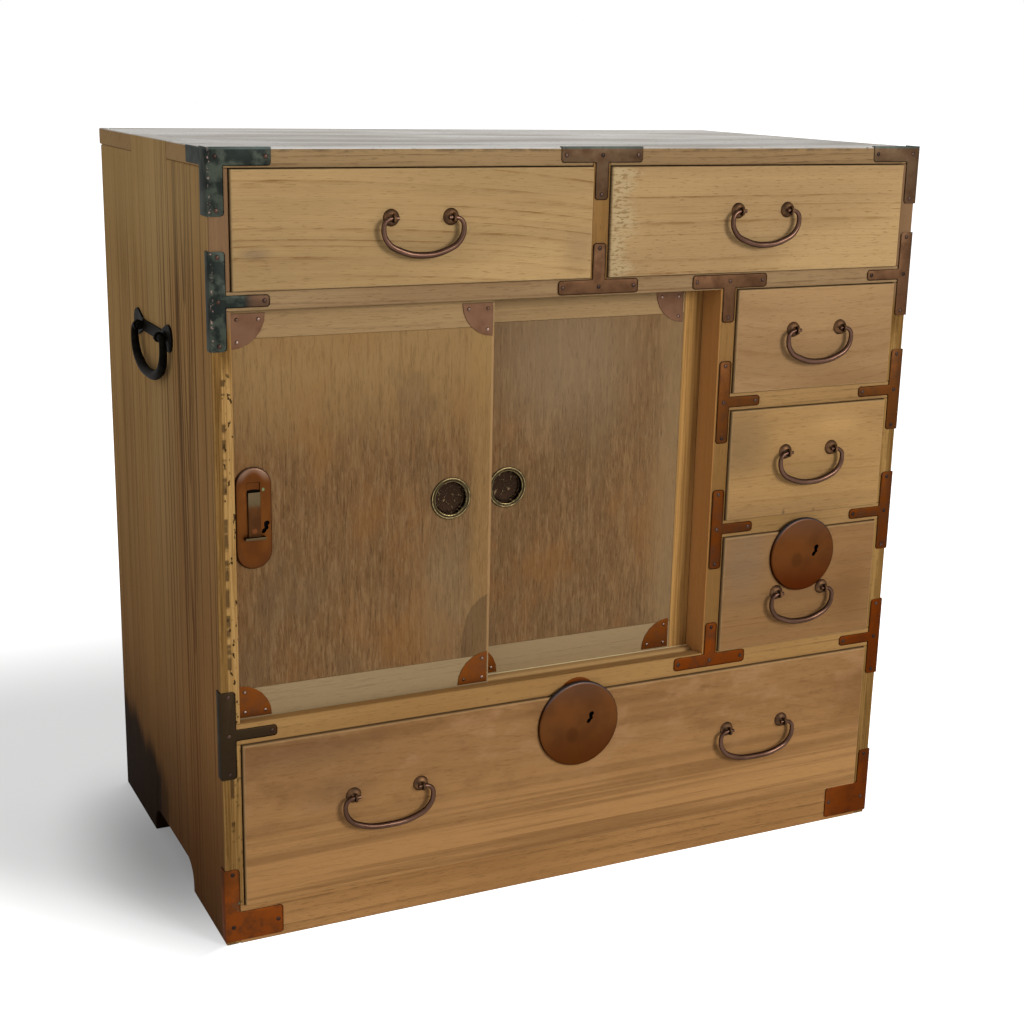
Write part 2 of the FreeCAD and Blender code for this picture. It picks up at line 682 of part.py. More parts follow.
def eye(name, x, y, z, height, ring, neck, rosette, bore, quarter_turn=0):
    """One eye post: a raised rosette, a neck, and a ring bored across for the bail's tip."""
    ring_radius, ring_width = ring
    base_radius, top_radius, edge, dome = rosette
    slab = place(prism(name + "_base", EYE_SIDES, base_radius, edge), turn=(ACROSS, 90))
    rise = place(prism(name + "_rise", EYE_SIDES, top_radius, dome), turn=(ACROSS, 90))
    post = place(prism(name + "_neck", EYE_SIDES, neck, height), turn=(ACROSS, 90))
    sideways = (FreeCAD.Vector(0, 1, 0), 90)
    loop = place(prism(name + "_ring", EYE_SIDES, ring_radius, ring_width), -ring_width / 2,
                 -height, turn=sideways)
    whole = doc.addObject("Part::MultiFuse", name + "_whole")
    whole.Shapes = [slab, rise, post, loop]
    hole = place(prism(name + "_hole", EYE_SIDES, bore / math.cos(math.pi / EYE_SIDES),
                       neck * 4), -neck * 2, -height, turn=sideways)
    made = doc.addObject("Part::Cut", name)
    made.Base = whole
    made.Tool = hole
    return place(made, x, y, z, turn=(UP, quarter_turn) if quarter_turn else None)


small_bail = bail(cell("handle_span"), cell("handle_half_width"), cell("handle_drop"),
                  cell("handle_rod"), cell("handle_tip"), cell("handle_hook"),
                  cell("handle_shoulder"), cell("tip_reach"))
wide_bail = bail(cell("wide_handle_span"), cell("wide_handle_half_width"),
                 cell("wide_handle_drop"), cell("handle_rod"), cell("handle_tip"),
                 cell("handle_hook"), cell("handle_shoulder"), cell("tip_reach"))
carry_bail = bail(cell("carry_span"), cell("carry_half_width"), cell("carry_drop"),
                  cell("carry_rod"), cell("carry_tip"), cell("carry_hook"),
                  cell("carry_shoulder"), cell("carry_tip_reach"))

# ---------------------------------------------------------------- carrying bails at the sides

LOBE_STEPS = 10


def carry_handle(name, hand):
    """A lobed iron plate with two eyes on a side board, and the bail that hangs from them."""
    edge = right if hand > 0 else left
    middle = between((face, back))
    bail_middle = middle - d.carry_forward
    body = doc.addObject("PartDesign::Body", name + "_carry_back")
    half = [(zero, d.carry_waist), (d.carry_lobe_reach * 0.6, d.carry_waist)]
    half += reversed(arc(d.carry_lobe, -120, 115, LOBE_STEPS, d.carry_lobe_reach, zero))
    half += [(d.carry_lobe_reach * 0.6, -d.carry_belly), (zero, -d.carry_belly)]
    outline = half + [(-u, v) for u, v in reversed(half[1:-1])]
    outline = [(middle + u, d.carry_height + v) for u, v in outline]
    start = edge if hand > 0 else edge - d.carry_plate
    pad(body, sketch(body, name + "_wings", "YZ", start, [outline]), d.carry_plate)
    posts = []
    turn = 90 if hand > 0 else -90
    for which, shift in (("front", -d.carry_span / 2), ("rear", d.carry_span / 2)):
        posts.append(eye(f"{name}_carry_{which}_eye", edge + d.carry_plate * hand, bail_middle + shift,
                         d.carry_height, d.carry_eye_height - d.carry_plate,
                         (d.carry_eye_radius, d.carry_eye_width), d.carry_eye_neck,
                         (d.carry_rosette, d.carry_rosette_top, d.carry_rosette_edge,
                          d.carry_rosette_dome), d.carry_tip / 2 + d.pivot_play, turn))
    whole = doc.addObject("Part::MultiFuse", name + "_carry_plate")
    whole.Shapes = [body] + posts
    node(name + "_carry_plate", whole)
    bail_piece(name + "_carry_bail", carry_bail.copy(), edge + d.carry_eye_height * hand,
               bail_middle, d.carry_height, quarter_turn=90)


carry_handle("left", -1)
carry_handle("right", 1)

# ---------------------------------------------------------------- drawers

DRAWER_Y = (face - d.drawer_proud, board_back - d.drawer_back_gap)


def handle(name, drawer, centre, height, wide=False):
    """The bail of a drawer, and its two eye posts."""
    front = DRAWER_Y[0]
    span = d.wide_handle_span if wide else d.handle_span
    rosette = (d.rosette_radius, d.rosette_top, d.rosette_edge, d.rosette_dome)
    posts = [eye(f"{name}_{which}_eye", centre + shift, front, height, d.eye_height,
                 (d.eye_radius, d.eye_width), d.eye_neck, rosette,
                 d.handle_tip / 2 + d.pivot_play)
             for which, shift in (("left", -span / 2), ("right", span / 2))]
    shape = wide_bail if wide else small_bail
    bail_piece(name, shape.copy(), centre, front - d.eye_height, height)
    return posts


def drawer(name, run, low, high, handles):
    """One drawer: its front with lapped ends, and the sides, back and bottom behind it."""
    x = (run[0] + d.front_gap, run[1] - d.front_gap)
    z = (low + d.running_gap, high - d.front_gap)
    y = DRAWER_Y
    body = doc.addObject("PartDesign::Body", name + "_front")
    pad(body, sketch(body, name + "_face", "XZ", -y[0] - d.drawer_front, [rectangle(x, z)]),
        d.drawer_front)
    front_y = y[0]
    bevelled(body, d.front_edge_bevel, lambda edge: near(edge.CenterOfMass.y, front_y))
    inner_face = -y[0] - d.drawer_front
    laps = [rectangle((x[0], x[0] + d.drawer_board), (z[0], z[1] - d.side_drop)),
            rectangle((x[1] - d.drawer_board, x[1]), (z[0], z[1] - d.side_drop))]
    pocket(body, sketch(body, name + "_laps", "XZ", inner_face, laps), d.drawer_lap, reverse=True)
    groove_z = (z[0] + d.bottom_rise, z[0] + d.bottom_rise + d.drawer_bottom)
    groove = rectangle((x[0] + d.drawer_board, x[1] - d.drawer_board), groove_z)
    pocket(body, sketch(body, name + "_groove", "XZ", inner_face, [groove]), d.bottom_groove,
           reverse=True)
    node(name + "_front", body)

    side_y = (y[0] + d.drawer_front - d.drawer_lap, y[1])
    side_z = (z[0], z[1] - d.side_drop)
    inside = (x[0] + d.drawer_board, x[1] - d.drawer_board)
    bottom_x = (inside[0] - d.bottom_groove, inside[1] + d.bottom_groove)
    bottom_y = (y[0] + d.drawer_front - d.bottom_groove, y[1])
    pieces = []
    for which, across in (("left", (x[0], inside[0])), ("right", (inside[1], x[1]))):
        blank = box(f"{name}_{which}_blank", across, side_y, side_z)
        channel_x = (bottom_x[0], inside[0]) if which == "left" else (inside[1], bottom_x[1])
        channel = box(f"{name}_{which}_channel", channel_x, side_y, groove_z)
        pieces.append(cut(f"{name}_{which}_side", blank, [channel]))
    pieces.append(box(name + "_back", inside, (y[1] - d.drawer_board, y[1]),
                      (groove_z[1], side_z[1])))
    bottom = box(name + "_bottom", bottom_x, bottom_y, groove_z)
    corners = [box(f"{name}_{which}_notch", across, (bottom_y[0], y[0] + d.drawer_front), groove_z)
               for which, across in (("left", (bottom_x[0], inside[0])),
                                     ("right", (inside[1], bottom_x[1])))]
    pieces.append(cut(name + "_bottom", bottom, corners))
    node(name + "_box", group(name + "_box", pieces))

    posts = []
    for label, centre, height, wide in handles:
        posts += handle(label, name, centre, height, wide)
    node(name + "_handle_eyes", group(name + "_handle_eyes", posts))


small_drawer_run = (small_left, inner_right)
top_left_run = (inner_left, top_divider_left)
top_right_run = (top_divider_right, inner_right)
top_handle = shelf_up_top + d.top_handle_height
small_middle = between(small_drawer_run)
bottom_handle = d.rail_height + d.bottom_handle_height
drawer("top_left_drawer", top_left_run, shelf_up_top, side_top,
       [("top_left_drawer_bail", between(top_left_run), top_handle, False)])
drawer("top_right_drawer", top_right_run, shelf_up_top, side_top,
       [("top_right_drawer_bail", between(top_right_run), top_handle, False)])
drawer("upper_small_drawer", small_drawer_run, shelf_two_top, shelf_up,
       [("upper_small_drawer_bail", small_middle, shelf_two_top + d.upper_handle_height, False)])
drawer("middle_small_drawer", small_drawer_run, shelf_three_top, shelf_two,
       [("middle_small_drawer_bail", small_middle, shelf_three_top + d.middle_handle_height,
         False)])
drawer("lower_small_drawer", small_drawer_run, shelf_low_top, shelf_three,
       [("lower_small_drawer_bail", small_middle, shelf_low_top + d.lower_handle_height, False)])
drawer("bottom_drawer", (inner_left, inner_right), d.rail_height, shelf_low,
       [("bottom_drawer_left_bail", inner_left + d.wide_handle_inset, bottom_handle, True),
        ("bottom_drawer_right_bail", inner_right - d.wide_handle_inset, bottom_handle, True)])

# ---------------------------------------------------------------- drawer locks


def lock(name, centre, disc_z, radius, key_side, key_rise, drawer_top):
    """A domed disc with its keyhole, the lock case behind the front, and the rising bolt."""
    disc = doc.addObject("PartDesign::Body", name + "_disc")
    pad(disc, sketch(disc, name + "_round", "XZ", zero, [arc(radius, 0, 360, DISC_SIDES)[:-1]]),
        d.disc_dome)
    bevelled(disc, d.disc_dome - d.disc_edge, lambda edge: near(edge.CenterOfMass.y, -d.disc_dome))
    slot = rectangle((key_side - d.keyhole_width / 2, key_side + d.keyhole_width / 2),
                     (key_rise - d.keyhole_height / 2, key_rise + d.keyhole_height / 2))
    pocket(disc, sketch(disc, name + "_keyhole", "XZ", zero, [slot]))
    place(disc, centre, DRAWER_Y[0], disc_z)
    case_top_z = drawer_top - d.lock_drop
    case_z = (case_top_z - d.lock_height, case_top_z)
    half = d.lock_width / 2
    bolt_half = d.bolt_width / 2
    blank = box(name + "_case", (centre - half, centre + half),
                (lock_back, lock_back + d.lock_thick), case_z)
    gap = d.bolt_gap
    channel = box(name + "_channel", (centre - bolt_half - gap, centre + bolt_half + gap),
                  (bolt_run[0] - gap, bolt_run[1] + gap),
                  (case_z[0] + d.lock_wall, case_z[1]))
    node(name, group(name, [disc, cut(name + "_body", blank, [channel])]))
    node(name + "_bolt", box(name + "_bolt", (centre - bolt_half, centre + bolt_half), bolt_run,
                             (case_z[0] + d.lock_wall + gap, case_z[1])))


lock("bottom_drawer_lock", wide_disc_x, d.rail_height + d.wide_disc_height, d.wide_disc_radius,
     d.wide_keyhole_side, d.wide_keyhole_rise, shelf_low)
lock("lower_small_drawer_lock", small_disc_x, shelf_low_top + d.small_disc_height,
     d.small_disc_radius, d.small_keyhole_side, d.small_keyhole_rise, shelf_three)

# ---------------------------------------------------------------- sliding doors

door_z = (shelf_low_top - d.door_lower_entry, shelf_up + d.door_upper_entry)
door_width = (d.cupboard_opening - d.door_end_gap * 2 + d.door_overlap) / 2
panel_z = (shelf_low_top + d.bottom_cleat, shelf_up - d.top_cleat)
left_door_y = face + d.door_recess
right_door_y = left_door_y + d.door_board + d.door_spacing


PULL_SIDES = 24
CORNER_STEPS = 6


def door(name, x, y, strip, pull_x, plated):
    """A sliding door: an upright board between two cleats, with plates at some corners."""
    depth = (y, y + d.door_board)
    tongue = (y + (d.door_board - d.cleat_tongue_board) / 2,
              y + (d.door_board + d.cleat_tongue_board) / 2)
    board_x = (x[0], x[1] - strip) if strip else x
    board_z = (panel_z[0] - d.cleat_tongue, panel_z[1] + d.cleat_tongue)
    shoulders = []
    for which, heights in (("lower", (board_z[0], panel_z[0])), ("upper", (panel_z[1], board_z[1]))):
        shoulders.append(box(f"{name}_{which}_front_shoulder", board_x, (depth[0], tongue[0]), heights))
        shoulders.append(box(f"{name}_{which}_back_shoulder", board_x, (tongue[1], depth[1]), heights))
    pull_z = shelf_low_top + d.pull_height
    wall = d.pull_radius - d.pull_rim
    recess = place(prism(name + "_pull_recess", PULL_SIDES, wall, d.pull_depth),
                   pull_x, y + d.pull_depth, pull_z, turn=(ACROSS, 90))
    node(name + "_panel", cut(name + "_panel", box(name + "_board", board_x, depth, board_z),
                              shoulders + [recess]))
    cleats = []
    for which, heights, slot in (("lower", (door_z[0], panel_z[0]), (board_z[0], panel_z[0])),
                                 ("upper", (panel_z[1], door_z[1]), (panel_z[1], board_z[1]))):
        groove = box(f"{name}_{which}_groove", board_x, tongue, slot)
        cleats.append(cut(f"{name}_{which}_cleat",
                          box(f"{name}_{which}_rail", board_x, depth, heights), [groove]))
    if strip:
        cleats.append(box(name + "_edge_strip", (board_x[1], x[1]), depth, door_z))
    node(name + "_cleats", group(name + "_cleats", cleats))
    corners = []
    plate_x = (board_x[0] + d.corner_side, board_x[1] - d.corner_side)
    plate_z = (shelf_low_top + d.corner_foot, shelf_up - d.corner_head)
    spots = ((plate_x[0], plate_z[0]), (plate_x[1], plate_z[0]),
             (plate_x[1], plate_z[1]), (plate_x[0], plate_z[1]))
    for number, (u, v) in enumerate(spots[:plated]):
        quarter = doc.addObject("PartDesign::Body", f"{name}_corner_{number}")
        fan = [(u, v)] + arc(d.door_corner_radius, 90 * number, 90 * number + 90, CORNER_STEPS, u, v)
        pad(quarter, sketch(quarter, f"{name}_fan_{number}", "XZ", -y, [fan]), d.door_plate)
        corners.append(quarter)
    node(name + "_corner_plates", group(name + "_corner_plates", corners))
    rim = prism(name + "_pull_rim", PULL_SIDES, d.pull_radius, d.pull_proud)
    cup = prism(name + "_pull_cup", PULL_SIDES, wall, d.pull_depth)
    hollow = prism(name + "_pull_hollow", PULL_SIDES, wall - d.pull_wall,
                   d.pull_depth + d.pull_proud - d.pull_wall)
    shell = doc.addObject("Part::Fuse", name + "_pull_shell")
    shell.Base = place(rim, pull_x, y, pull_z, turn=(ACROSS, 90))
    shell.Tool = place(cup, pull_x, y + d.pull_depth, pull_z, turn=(ACROSS, 90))
    pull = doc.addObject("Part::Cut", name + "_finger_pull")
    pull.Base = shell
    pull.Tool = place(hollow, pull_x, y + d.pull_depth - d.pull_wall, pull_z, turn=(ACROSS, 90))
    node(name + "_finger_pull", pull)


left_door_x = (inner_left + d.door_end_gap, inner_left + d.door_end_gap + door_width)
right_door_x = (cupboard_right - d.door_end_gap - door_width, cupboard_right - d.door_end_gap)
door("left_door", left_door_x, left_door_y, None, left_door_x[1] - d.left_pull_inset, 4)
# The right door's upper corner behind the left door has no plate.
door("right_door", right_door_x, right_door_y, d.edge_strip,
     right_door_x[0] + d.right_pull_inset, 3)

# The oval lock plate of the left door, with the latch that slides up and down on its face.
oval_x = left_door_x[0] + d.oval_inset
oval_z = shelf_low_top + d.oval_rise
OVAL_STEPS = 12
oval = doc.addObject("PartDesign::Body", "oval_lock_plate")
oval_end = d.oval_width / 2
end_rise = d.oval_height / 2 - oval_end
pad(oval, sketch(oval, "oval_outline", "XZ", -left_door_y, [
    arc(oval_end, 0, 180, OVAL_STEPS, oval_x, oval_z + end_rise)
    + arc(oval_end, 180, 360, OVAL_STEPS, oval_x, oval_z - end_rise)]), d.oval_plate)
oval_front = left_door_y - d.oval_plate
bevelled(oval, d.oval_bevel, lambda edge: near(edge.CenterOfMass.y, oval_front))
latch_x = (oval_x - d.latch_width / 2, oval_x + d.latch_width / 2)
latch_z = (oval_z - d.latch_height * 0.4, oval_z + d.latch_height * 0.6)
slot_x = (latch_x[0] - d.latch_gap, latch_x[1] + d.latch_gap)
slot_z = (latch_z[1] - d.latch_tail - d.latch_gap, latch_z[1] + d.latch_travel + d.latch_slot)
slot_depth = d.oval_plate / 2
pocket(oval, sketch(oval, "latch_slot", "XZ", -oval_front, [rectangle(slot_x, slot_z)]), slot_depth)
node("oval_lock_plate", oval)
latch_y = oval_front - d.latch_gap
latch = doc.addObject("PartDesign::Body", "latch_slide")
tail_y = oval_front + slot_depth - d.latch_gap
strip = [(latch_y, latch_z[0]), (latch_y, latch_z[1] - d.latch_tail),
         (tail_y, latch_z[1] - d.latch_tail), (tail_y, latch_z[1]),
         (latch_y - d.latch_plate, latch_z[1]), (latch_y - d.latch_plate, latch_z[0])]
pad(latch, sketch(latch, "latch_strip", "YZ", latch_x[0], [strip]), d.latch_width)
lip = rectangle((latch_y - d.latch_lip, latch_y), (latch_z[0] - d.latch_lip_thick, latch_z[0]))
pad(latch, sketch(latch, "latch_lip", "YZ", oval_x - d.latch_lip_width / 2, [lip]),
    d.latch_lip_width)
node("latch_slide", latch)

# ---------------------------------------------------------------- check and write

doc.recompute()
for item in doc.Objects:
    if "Invalid" in item.State or "Error" in item.State:
        raise RuntimeError(f"{item.Name} failed: {item.State}")
os.makedirs("parts", exist_ok=True)
for name, item in nodes.items():
    if item.Shape.isNull() or not item.Shape.isValid():
        raise RuntimeError(f"{name} has no valid shape")
for name, item in nodes.items():
    item.Shape.exportStep(f"parts/{name}.step")
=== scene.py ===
import bpy
import json
import math
from mathutils import Matrix, Vector

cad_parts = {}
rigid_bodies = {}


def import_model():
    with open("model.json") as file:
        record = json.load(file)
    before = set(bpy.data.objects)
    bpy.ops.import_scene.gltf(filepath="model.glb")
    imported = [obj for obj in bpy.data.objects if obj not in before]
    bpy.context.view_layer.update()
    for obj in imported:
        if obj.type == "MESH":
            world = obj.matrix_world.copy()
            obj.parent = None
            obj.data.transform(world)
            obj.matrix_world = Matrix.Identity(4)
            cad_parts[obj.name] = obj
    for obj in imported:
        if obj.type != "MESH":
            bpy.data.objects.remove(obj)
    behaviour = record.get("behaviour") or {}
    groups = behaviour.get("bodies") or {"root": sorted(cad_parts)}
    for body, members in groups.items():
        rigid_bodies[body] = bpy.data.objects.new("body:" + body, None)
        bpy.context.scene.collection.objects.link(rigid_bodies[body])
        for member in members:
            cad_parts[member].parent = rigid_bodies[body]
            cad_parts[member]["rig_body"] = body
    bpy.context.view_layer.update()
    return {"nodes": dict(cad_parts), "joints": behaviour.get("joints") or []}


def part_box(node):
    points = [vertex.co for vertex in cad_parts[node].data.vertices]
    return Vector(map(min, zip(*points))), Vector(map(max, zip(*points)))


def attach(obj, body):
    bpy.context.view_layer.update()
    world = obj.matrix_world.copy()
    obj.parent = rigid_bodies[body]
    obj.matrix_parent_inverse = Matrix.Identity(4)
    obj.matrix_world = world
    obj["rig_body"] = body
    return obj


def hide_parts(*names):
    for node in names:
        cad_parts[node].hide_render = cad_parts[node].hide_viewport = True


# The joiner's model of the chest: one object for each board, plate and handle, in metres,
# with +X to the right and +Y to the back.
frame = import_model()

# ---------------------------------------- floor, light and view
# The chest stands on a white floor that carries a painted shadow at its left. One wide soft lamp
# faces it from the right, a pale one stands at its left, and a third hangs over it. It is seen
# from beside its left corner.


class Tone:
    """A number that varies over a surface; arithmetic on it adds the Math nodes."""

    def __init__(self, nodes, socket):
        self.nodes = nodes
        self.socket = socket

    def reckon(self, operation, one, other):
        return self.nodes.node("Math", {"operation": operation}, {0: one, 1: other})

    def __add__(self, other):
        return self.reckon("ADD", self, other)

    def __mul__(self, other):
        return self.reckon("MULTIPLY", self, other)

    def __sub__(self, other):
        return self.reckon("SUBTRACT", self, other)

    def __rsub__(self, other):
        return self.reckon("SUBTRACT", other, self)

    __radd__ = __add__
    __rmul__ = __mul__

    def least(self, other):
        return self.reckon("MINIMUM", self, other)

    def most(self, other):
        return self.reckon("MAXIMUM", self, other)

    def saw(self):
        """Climbs from 0 to 1 and drops back, over and over."""
        return self.reckon("FRACT", self, 0.0)

    def rise(self, start, end):
        """0 before the start and 1 past the end, smooth between them."""
        return self.nodes.node("MapRange", {"interpolation_type": "SMOOTHSTEP"},
                               {0: self, 1: start, 2: end, 3: 0.0, 4: 1.0})


class Nodes:
    """The nodes of one material, or of the light in the room."""

    def __init__(self, tree):
        self.tree = tree

    def node(self, kind, settings, inputs, output=0):
        made = self.tree.nodes.new("ShaderNode" + kind)
        for setting, value in settings.items():
            setattr(made, setting, value)
        for socket, value in inputs.items():
            self.join(value, made.inputs[socket])
        return Tone(self, made.outputs[output])

    def join(self, value, socket):
        if isinstance(value, Tone):
            self.tree.links.new(value.socket, socket)
        elif socket.type == "RGBA" and len(value) == 3:
            socket.default_value = (*value, 1)
        else:
            socket.default_value = value

    def seen(self):
        """1 for what is seen straight, mirrored or through glass, and 0 for other rays."""
        straight, mirrored, shone = (self.node("LightPath", {}, {}, kind) for kind in (
            "Is Camera Ray", "Is Glossy Ray", "Is Transmission Ray"))
        return straight.most(mirrored).most(shone)


class Finish(Nodes):
    """One surface finish, worked out from the place on the piece."""

    def __init__(self, name, metal=0.0, gloss=0.5):
        self.material = bpy.data.materials.new(name)
        self.material.use_nodes = True
        super().__init__(self.material.node_tree)
        self.shader = self.tree.nodes["Principled BSDF"]
        self.shader.inputs["Metallic"].default_value = metal
        self.shader.inputs["Specular IOR Level"].default_value = gloss
        if metal:  # aged metal keeps its dark tone at a slant
            self.shader.inputs["Specular Tint"].default_value = (0.55, 0.55, 0.55, 1)
        self.where = self.node("TexCoord", {}, {}, "Object")
        self.x, self.y, self.z = (self.node("SeparateXYZ", {}, {0: self.where}, output)
                                  for output in "XYZ")

    def noise(self, scale, shift=0.0, detail=2.0, rough=0.5, twist=0.0):
        """Cloudy noise with so many lumps to a metre along each axis, centred on a half."""
        place = self.node("VectorMath", {"operation": "MULTIPLY_ADD"},
                          {0: self.where, 1: scale, 2: (shift, shift * 1.7, shift * 2.3)})
        return self.node("TexNoise", {}, {"Vector": place, "Scale": 1.0, "Detail": detail,
                                          "Roughness": rough, "Distortion": twist})

    def bands(self, along, detail=2.0, rough=0.5):
        """Noise along one number, for lines of uneven width and spacing."""
        return self.node("TexNoise", {"noise_dimensions": "1D"},
                         {"W": along, "Scale": 1.0, "Detail": detail, "Roughness": rough})

    def blend(self, mask, under, over):
        return self.node("Mix", {"data_type": "RGBA"}, {0: mask, 6: under, 7: over}, 2)

    def coats(self, colour, *layers):
        """Lays one tone after another over the colour, each through its own mask."""
        for mask, tone in layers:
            colour = self.blend(mask, colour, tone)
        return colour

    def grade(self, value, stops):
        """Passes from one colour to the next as the value passes each stop."""
        (last, colour), *rest = stops
        for stop, tone in rest:
            colour = self.blend(value.rise(last, stop), colour, tone)
            last = stop
        return colour

    def away(self, centre, reach):
        """How far from a place, in shares of the reach along each axis."""
        stretch = tuple(1 / size for size in reach)
        moved = tuple(-place / size for place, size in zip(centre, reach))
        place = self.node("VectorMath", {"operation": "MULTIPLY_ADD"},
                          {0: self.where, 1: stretch, 2: moved})
        return self.node("VectorMath", {"operation": "LENGTH"}, {0: place}, "Value")

    def near(self, centre, reach, soft):
        """1 round a place and 0 past the reach from it, an ellipsoid with a soft edge."""
        return self.away(centre, reach).rise(1.0, 1.0 - soft)

    def spread(self, colour, roughness, height=None, depth=0.0002):
        """Gives the surface its colour, sheen and relief."""
        self.join(colour, self.shader.inputs["Base Color"])
        self.join(roughness, self.shader.inputs["Roughness"])
        if height is not None:
            relief = self.node("Bump", {}, {"Strength": 1.0, "Distance": depth, "Height": height},
                               "Normal")
            self.join(relief, self.shader.inputs["Normal"])
        return self.material


def added(primitive, name, **sizes):
    """Adds one thing with nothing else selected, and names it."""
    bpy.ops.object.select_all(action="DESELECT")
    primitive(**sizes)
    made = bpy.context.object
    made.name = name
    return made


floor = added(bpy.ops.mesh.primitive_plane_add, "floor", size=40)
floor_paint = Finish("white_floor", gloss=0.0)
along, back = floor_paint.x, floor_paint.y
# Painted cast shadow: in a wedge left of the chest the floor is greyed and its glow lowered.
past_corner = (along * 0.75 + back * 0.66).rise(-0.59, -0.345)
past_corner = past_corner * (along - back * 2).rise(0.05, 0.012) * along.rise(0.25, -0.1)
shade = past_corner * back.rise(1.08, 0.45)
# Painted contact shadow: darker still close to the chest's left foot.
painted_contact_shadow = floor_paint.away((-0.375, 0.02, 0), (0.14, 0.28, 1)).rise(1.0, 0.1) * past_corner
white_paint, shade_paint = (0.8, 0.8, 0.8), (0.35, 0.35, 0.35)
floor_paint.spread(floor_paint.blend(shade, white_paint, shade_paint), 0.9)
glow = floor_paint.node("Emission", {}, {
    "Color": (1, 1, 1), "Strength": floor_paint.seen() * (1 - shade * 0.52 - painted_contact_shadow * 0.33)})
lit = floor_paint.node("AddShader", {}, {0: Tone(floor_paint, floor_paint.shader.outputs[0]),
                                         1: glow})
floor_paint.join(lit, floor_paint.tree.nodes["Material Output"].inputs["Surface"])
floor.data.materials.append(floor_paint.material)

sky = bpy.data.worlds.new("white_room")
bpy.context.scene.world = sky
sky.use_nodes = True
room = Nodes(sky.node_tree)
room_light, plain_white = 0.4, 1.0
strength = room.node("MapRange", {}, {"Value": room.seen(), "To Min": room_light,
                                      "To Max": plain_white})
background = room.tree.nodes["Background"].inputs
room.join(strength, background["Strength"])
room.join((1, 1, 1), background["Color"])

chest_middle = Vector((0, 0, 0.4))
for name, place, size, watts in (("wide_lamp", (1.4, -3.3, 1.6), 1.1, 88),
                                 ("left_lamp", (-2.6, -1.2, 1.6), 1.5, 9),
                                 ("top_lamp", (0.2, 0.8, 2.4), 1.2, 12)):
    lamp = added(bpy.ops.object.light_add, name, type="AREA", location=place)
    lamp.data.size = size
    lamp.data.energy = watts
    lamp.rotation_euler = (chest_middle - Vector(place)).to_track_quat("-Z", "Y").to_euler()

case_height = 0.758
left_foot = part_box("left_side_board")[0]
eye_place = left_foot + Vector((-0.516, -1.857, 1.095)) * case_height
yaw, pitch, roll = (math.radians(angle) for angle in (26.07, 15.08, 1.26))
ahead = Vector((math.sin(yaw) * math.cos(pitch), math.cos(yaw) * math.cos(pitch),
                -math.sin(pitch)))
level = Vector((math.cos(yaw), -math.sin(yaw), 0))
upward = level.cross(ahead)
across = level * math.cos(roll) + upward * math.sin(roll)
upright = upward * math.cos(roll) - level * math.sin(roll)
camera = added(bpy.ops.object.camera_add, "Camera")
camera.matrix_world = Matrix.Translation(eye_place) @ Matrix(
    (across, upright, -ahead)).transposed().to_4x4()
sensor_mm, lens_mm = 36, 58.04
camera.data.sensor_width, camera.data.lens = sensor_mm, lens_mm
bpy.context.scene.camera = camera
bpy.context.scene.view_settings.view_transform = "Standard"

# ---------------------------------------- boards of the case
# Sawn paulownia boards, housed and nailed, left without lacquer. Age has greyed the top,
# drawn dark streaks down the sides and rubbed the front edges pale.


def take(made):
    """Makes this the one selected piece."""
    bpy.ops.object.select_all(action="DESELECT")
    made.select_set(True)
    bpy.context.view_layer.objects.active = made


def copied(node, name):
    """A copy of one of the joiner's pieces, with its facets merged back into whole faces."""
    made = bpy.data.objects.new(name, frame["nodes"][node].data.copy())
    bpy.context.collection.objects.link(made)
    take(made)
    bpy.ops.object.mode_set(mode="EDIT")
    bpy.ops.mesh.select_all(action="SELECT")
    bpy.ops.mesh.remove_doubles(threshold=0.00001)
    bpy.ops.mesh.dissolve_limited(angle_limit=math.radians(1))
    bpy.ops.object.mode_set(mode="OBJECT")
    return made


def eased(made, width, segments=2, angle=25):
    """Eases every sharp edge of the piece by a small width."""
    take(made)
    ease = made.modifiers.new("ease", "BEVEL")
    ease.width = width
    ease.segments = segments
    ease.limit_method = "ANGLE"
    ease.angle_limit = math.radians(angle)
    bpy.ops.object.modifier_apply(modifier="ease")
    bpy.ops.object.shade_smooth_by_angle(angle=math.radians(angle))
    return made


def fitted(made, node, material):
    """Puts the piece in the place of the joiner's one, on the same moving body."""
    made.data.materials.clear()
    made.data.materials.append(material)
    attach(made, frame["nodes"][node]["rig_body"])
    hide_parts(node)
    return made


def by_axis(along, with_grain, over_grain):
    return tuple(with_grain if axis == along else over_grain for axis in "XYZ")


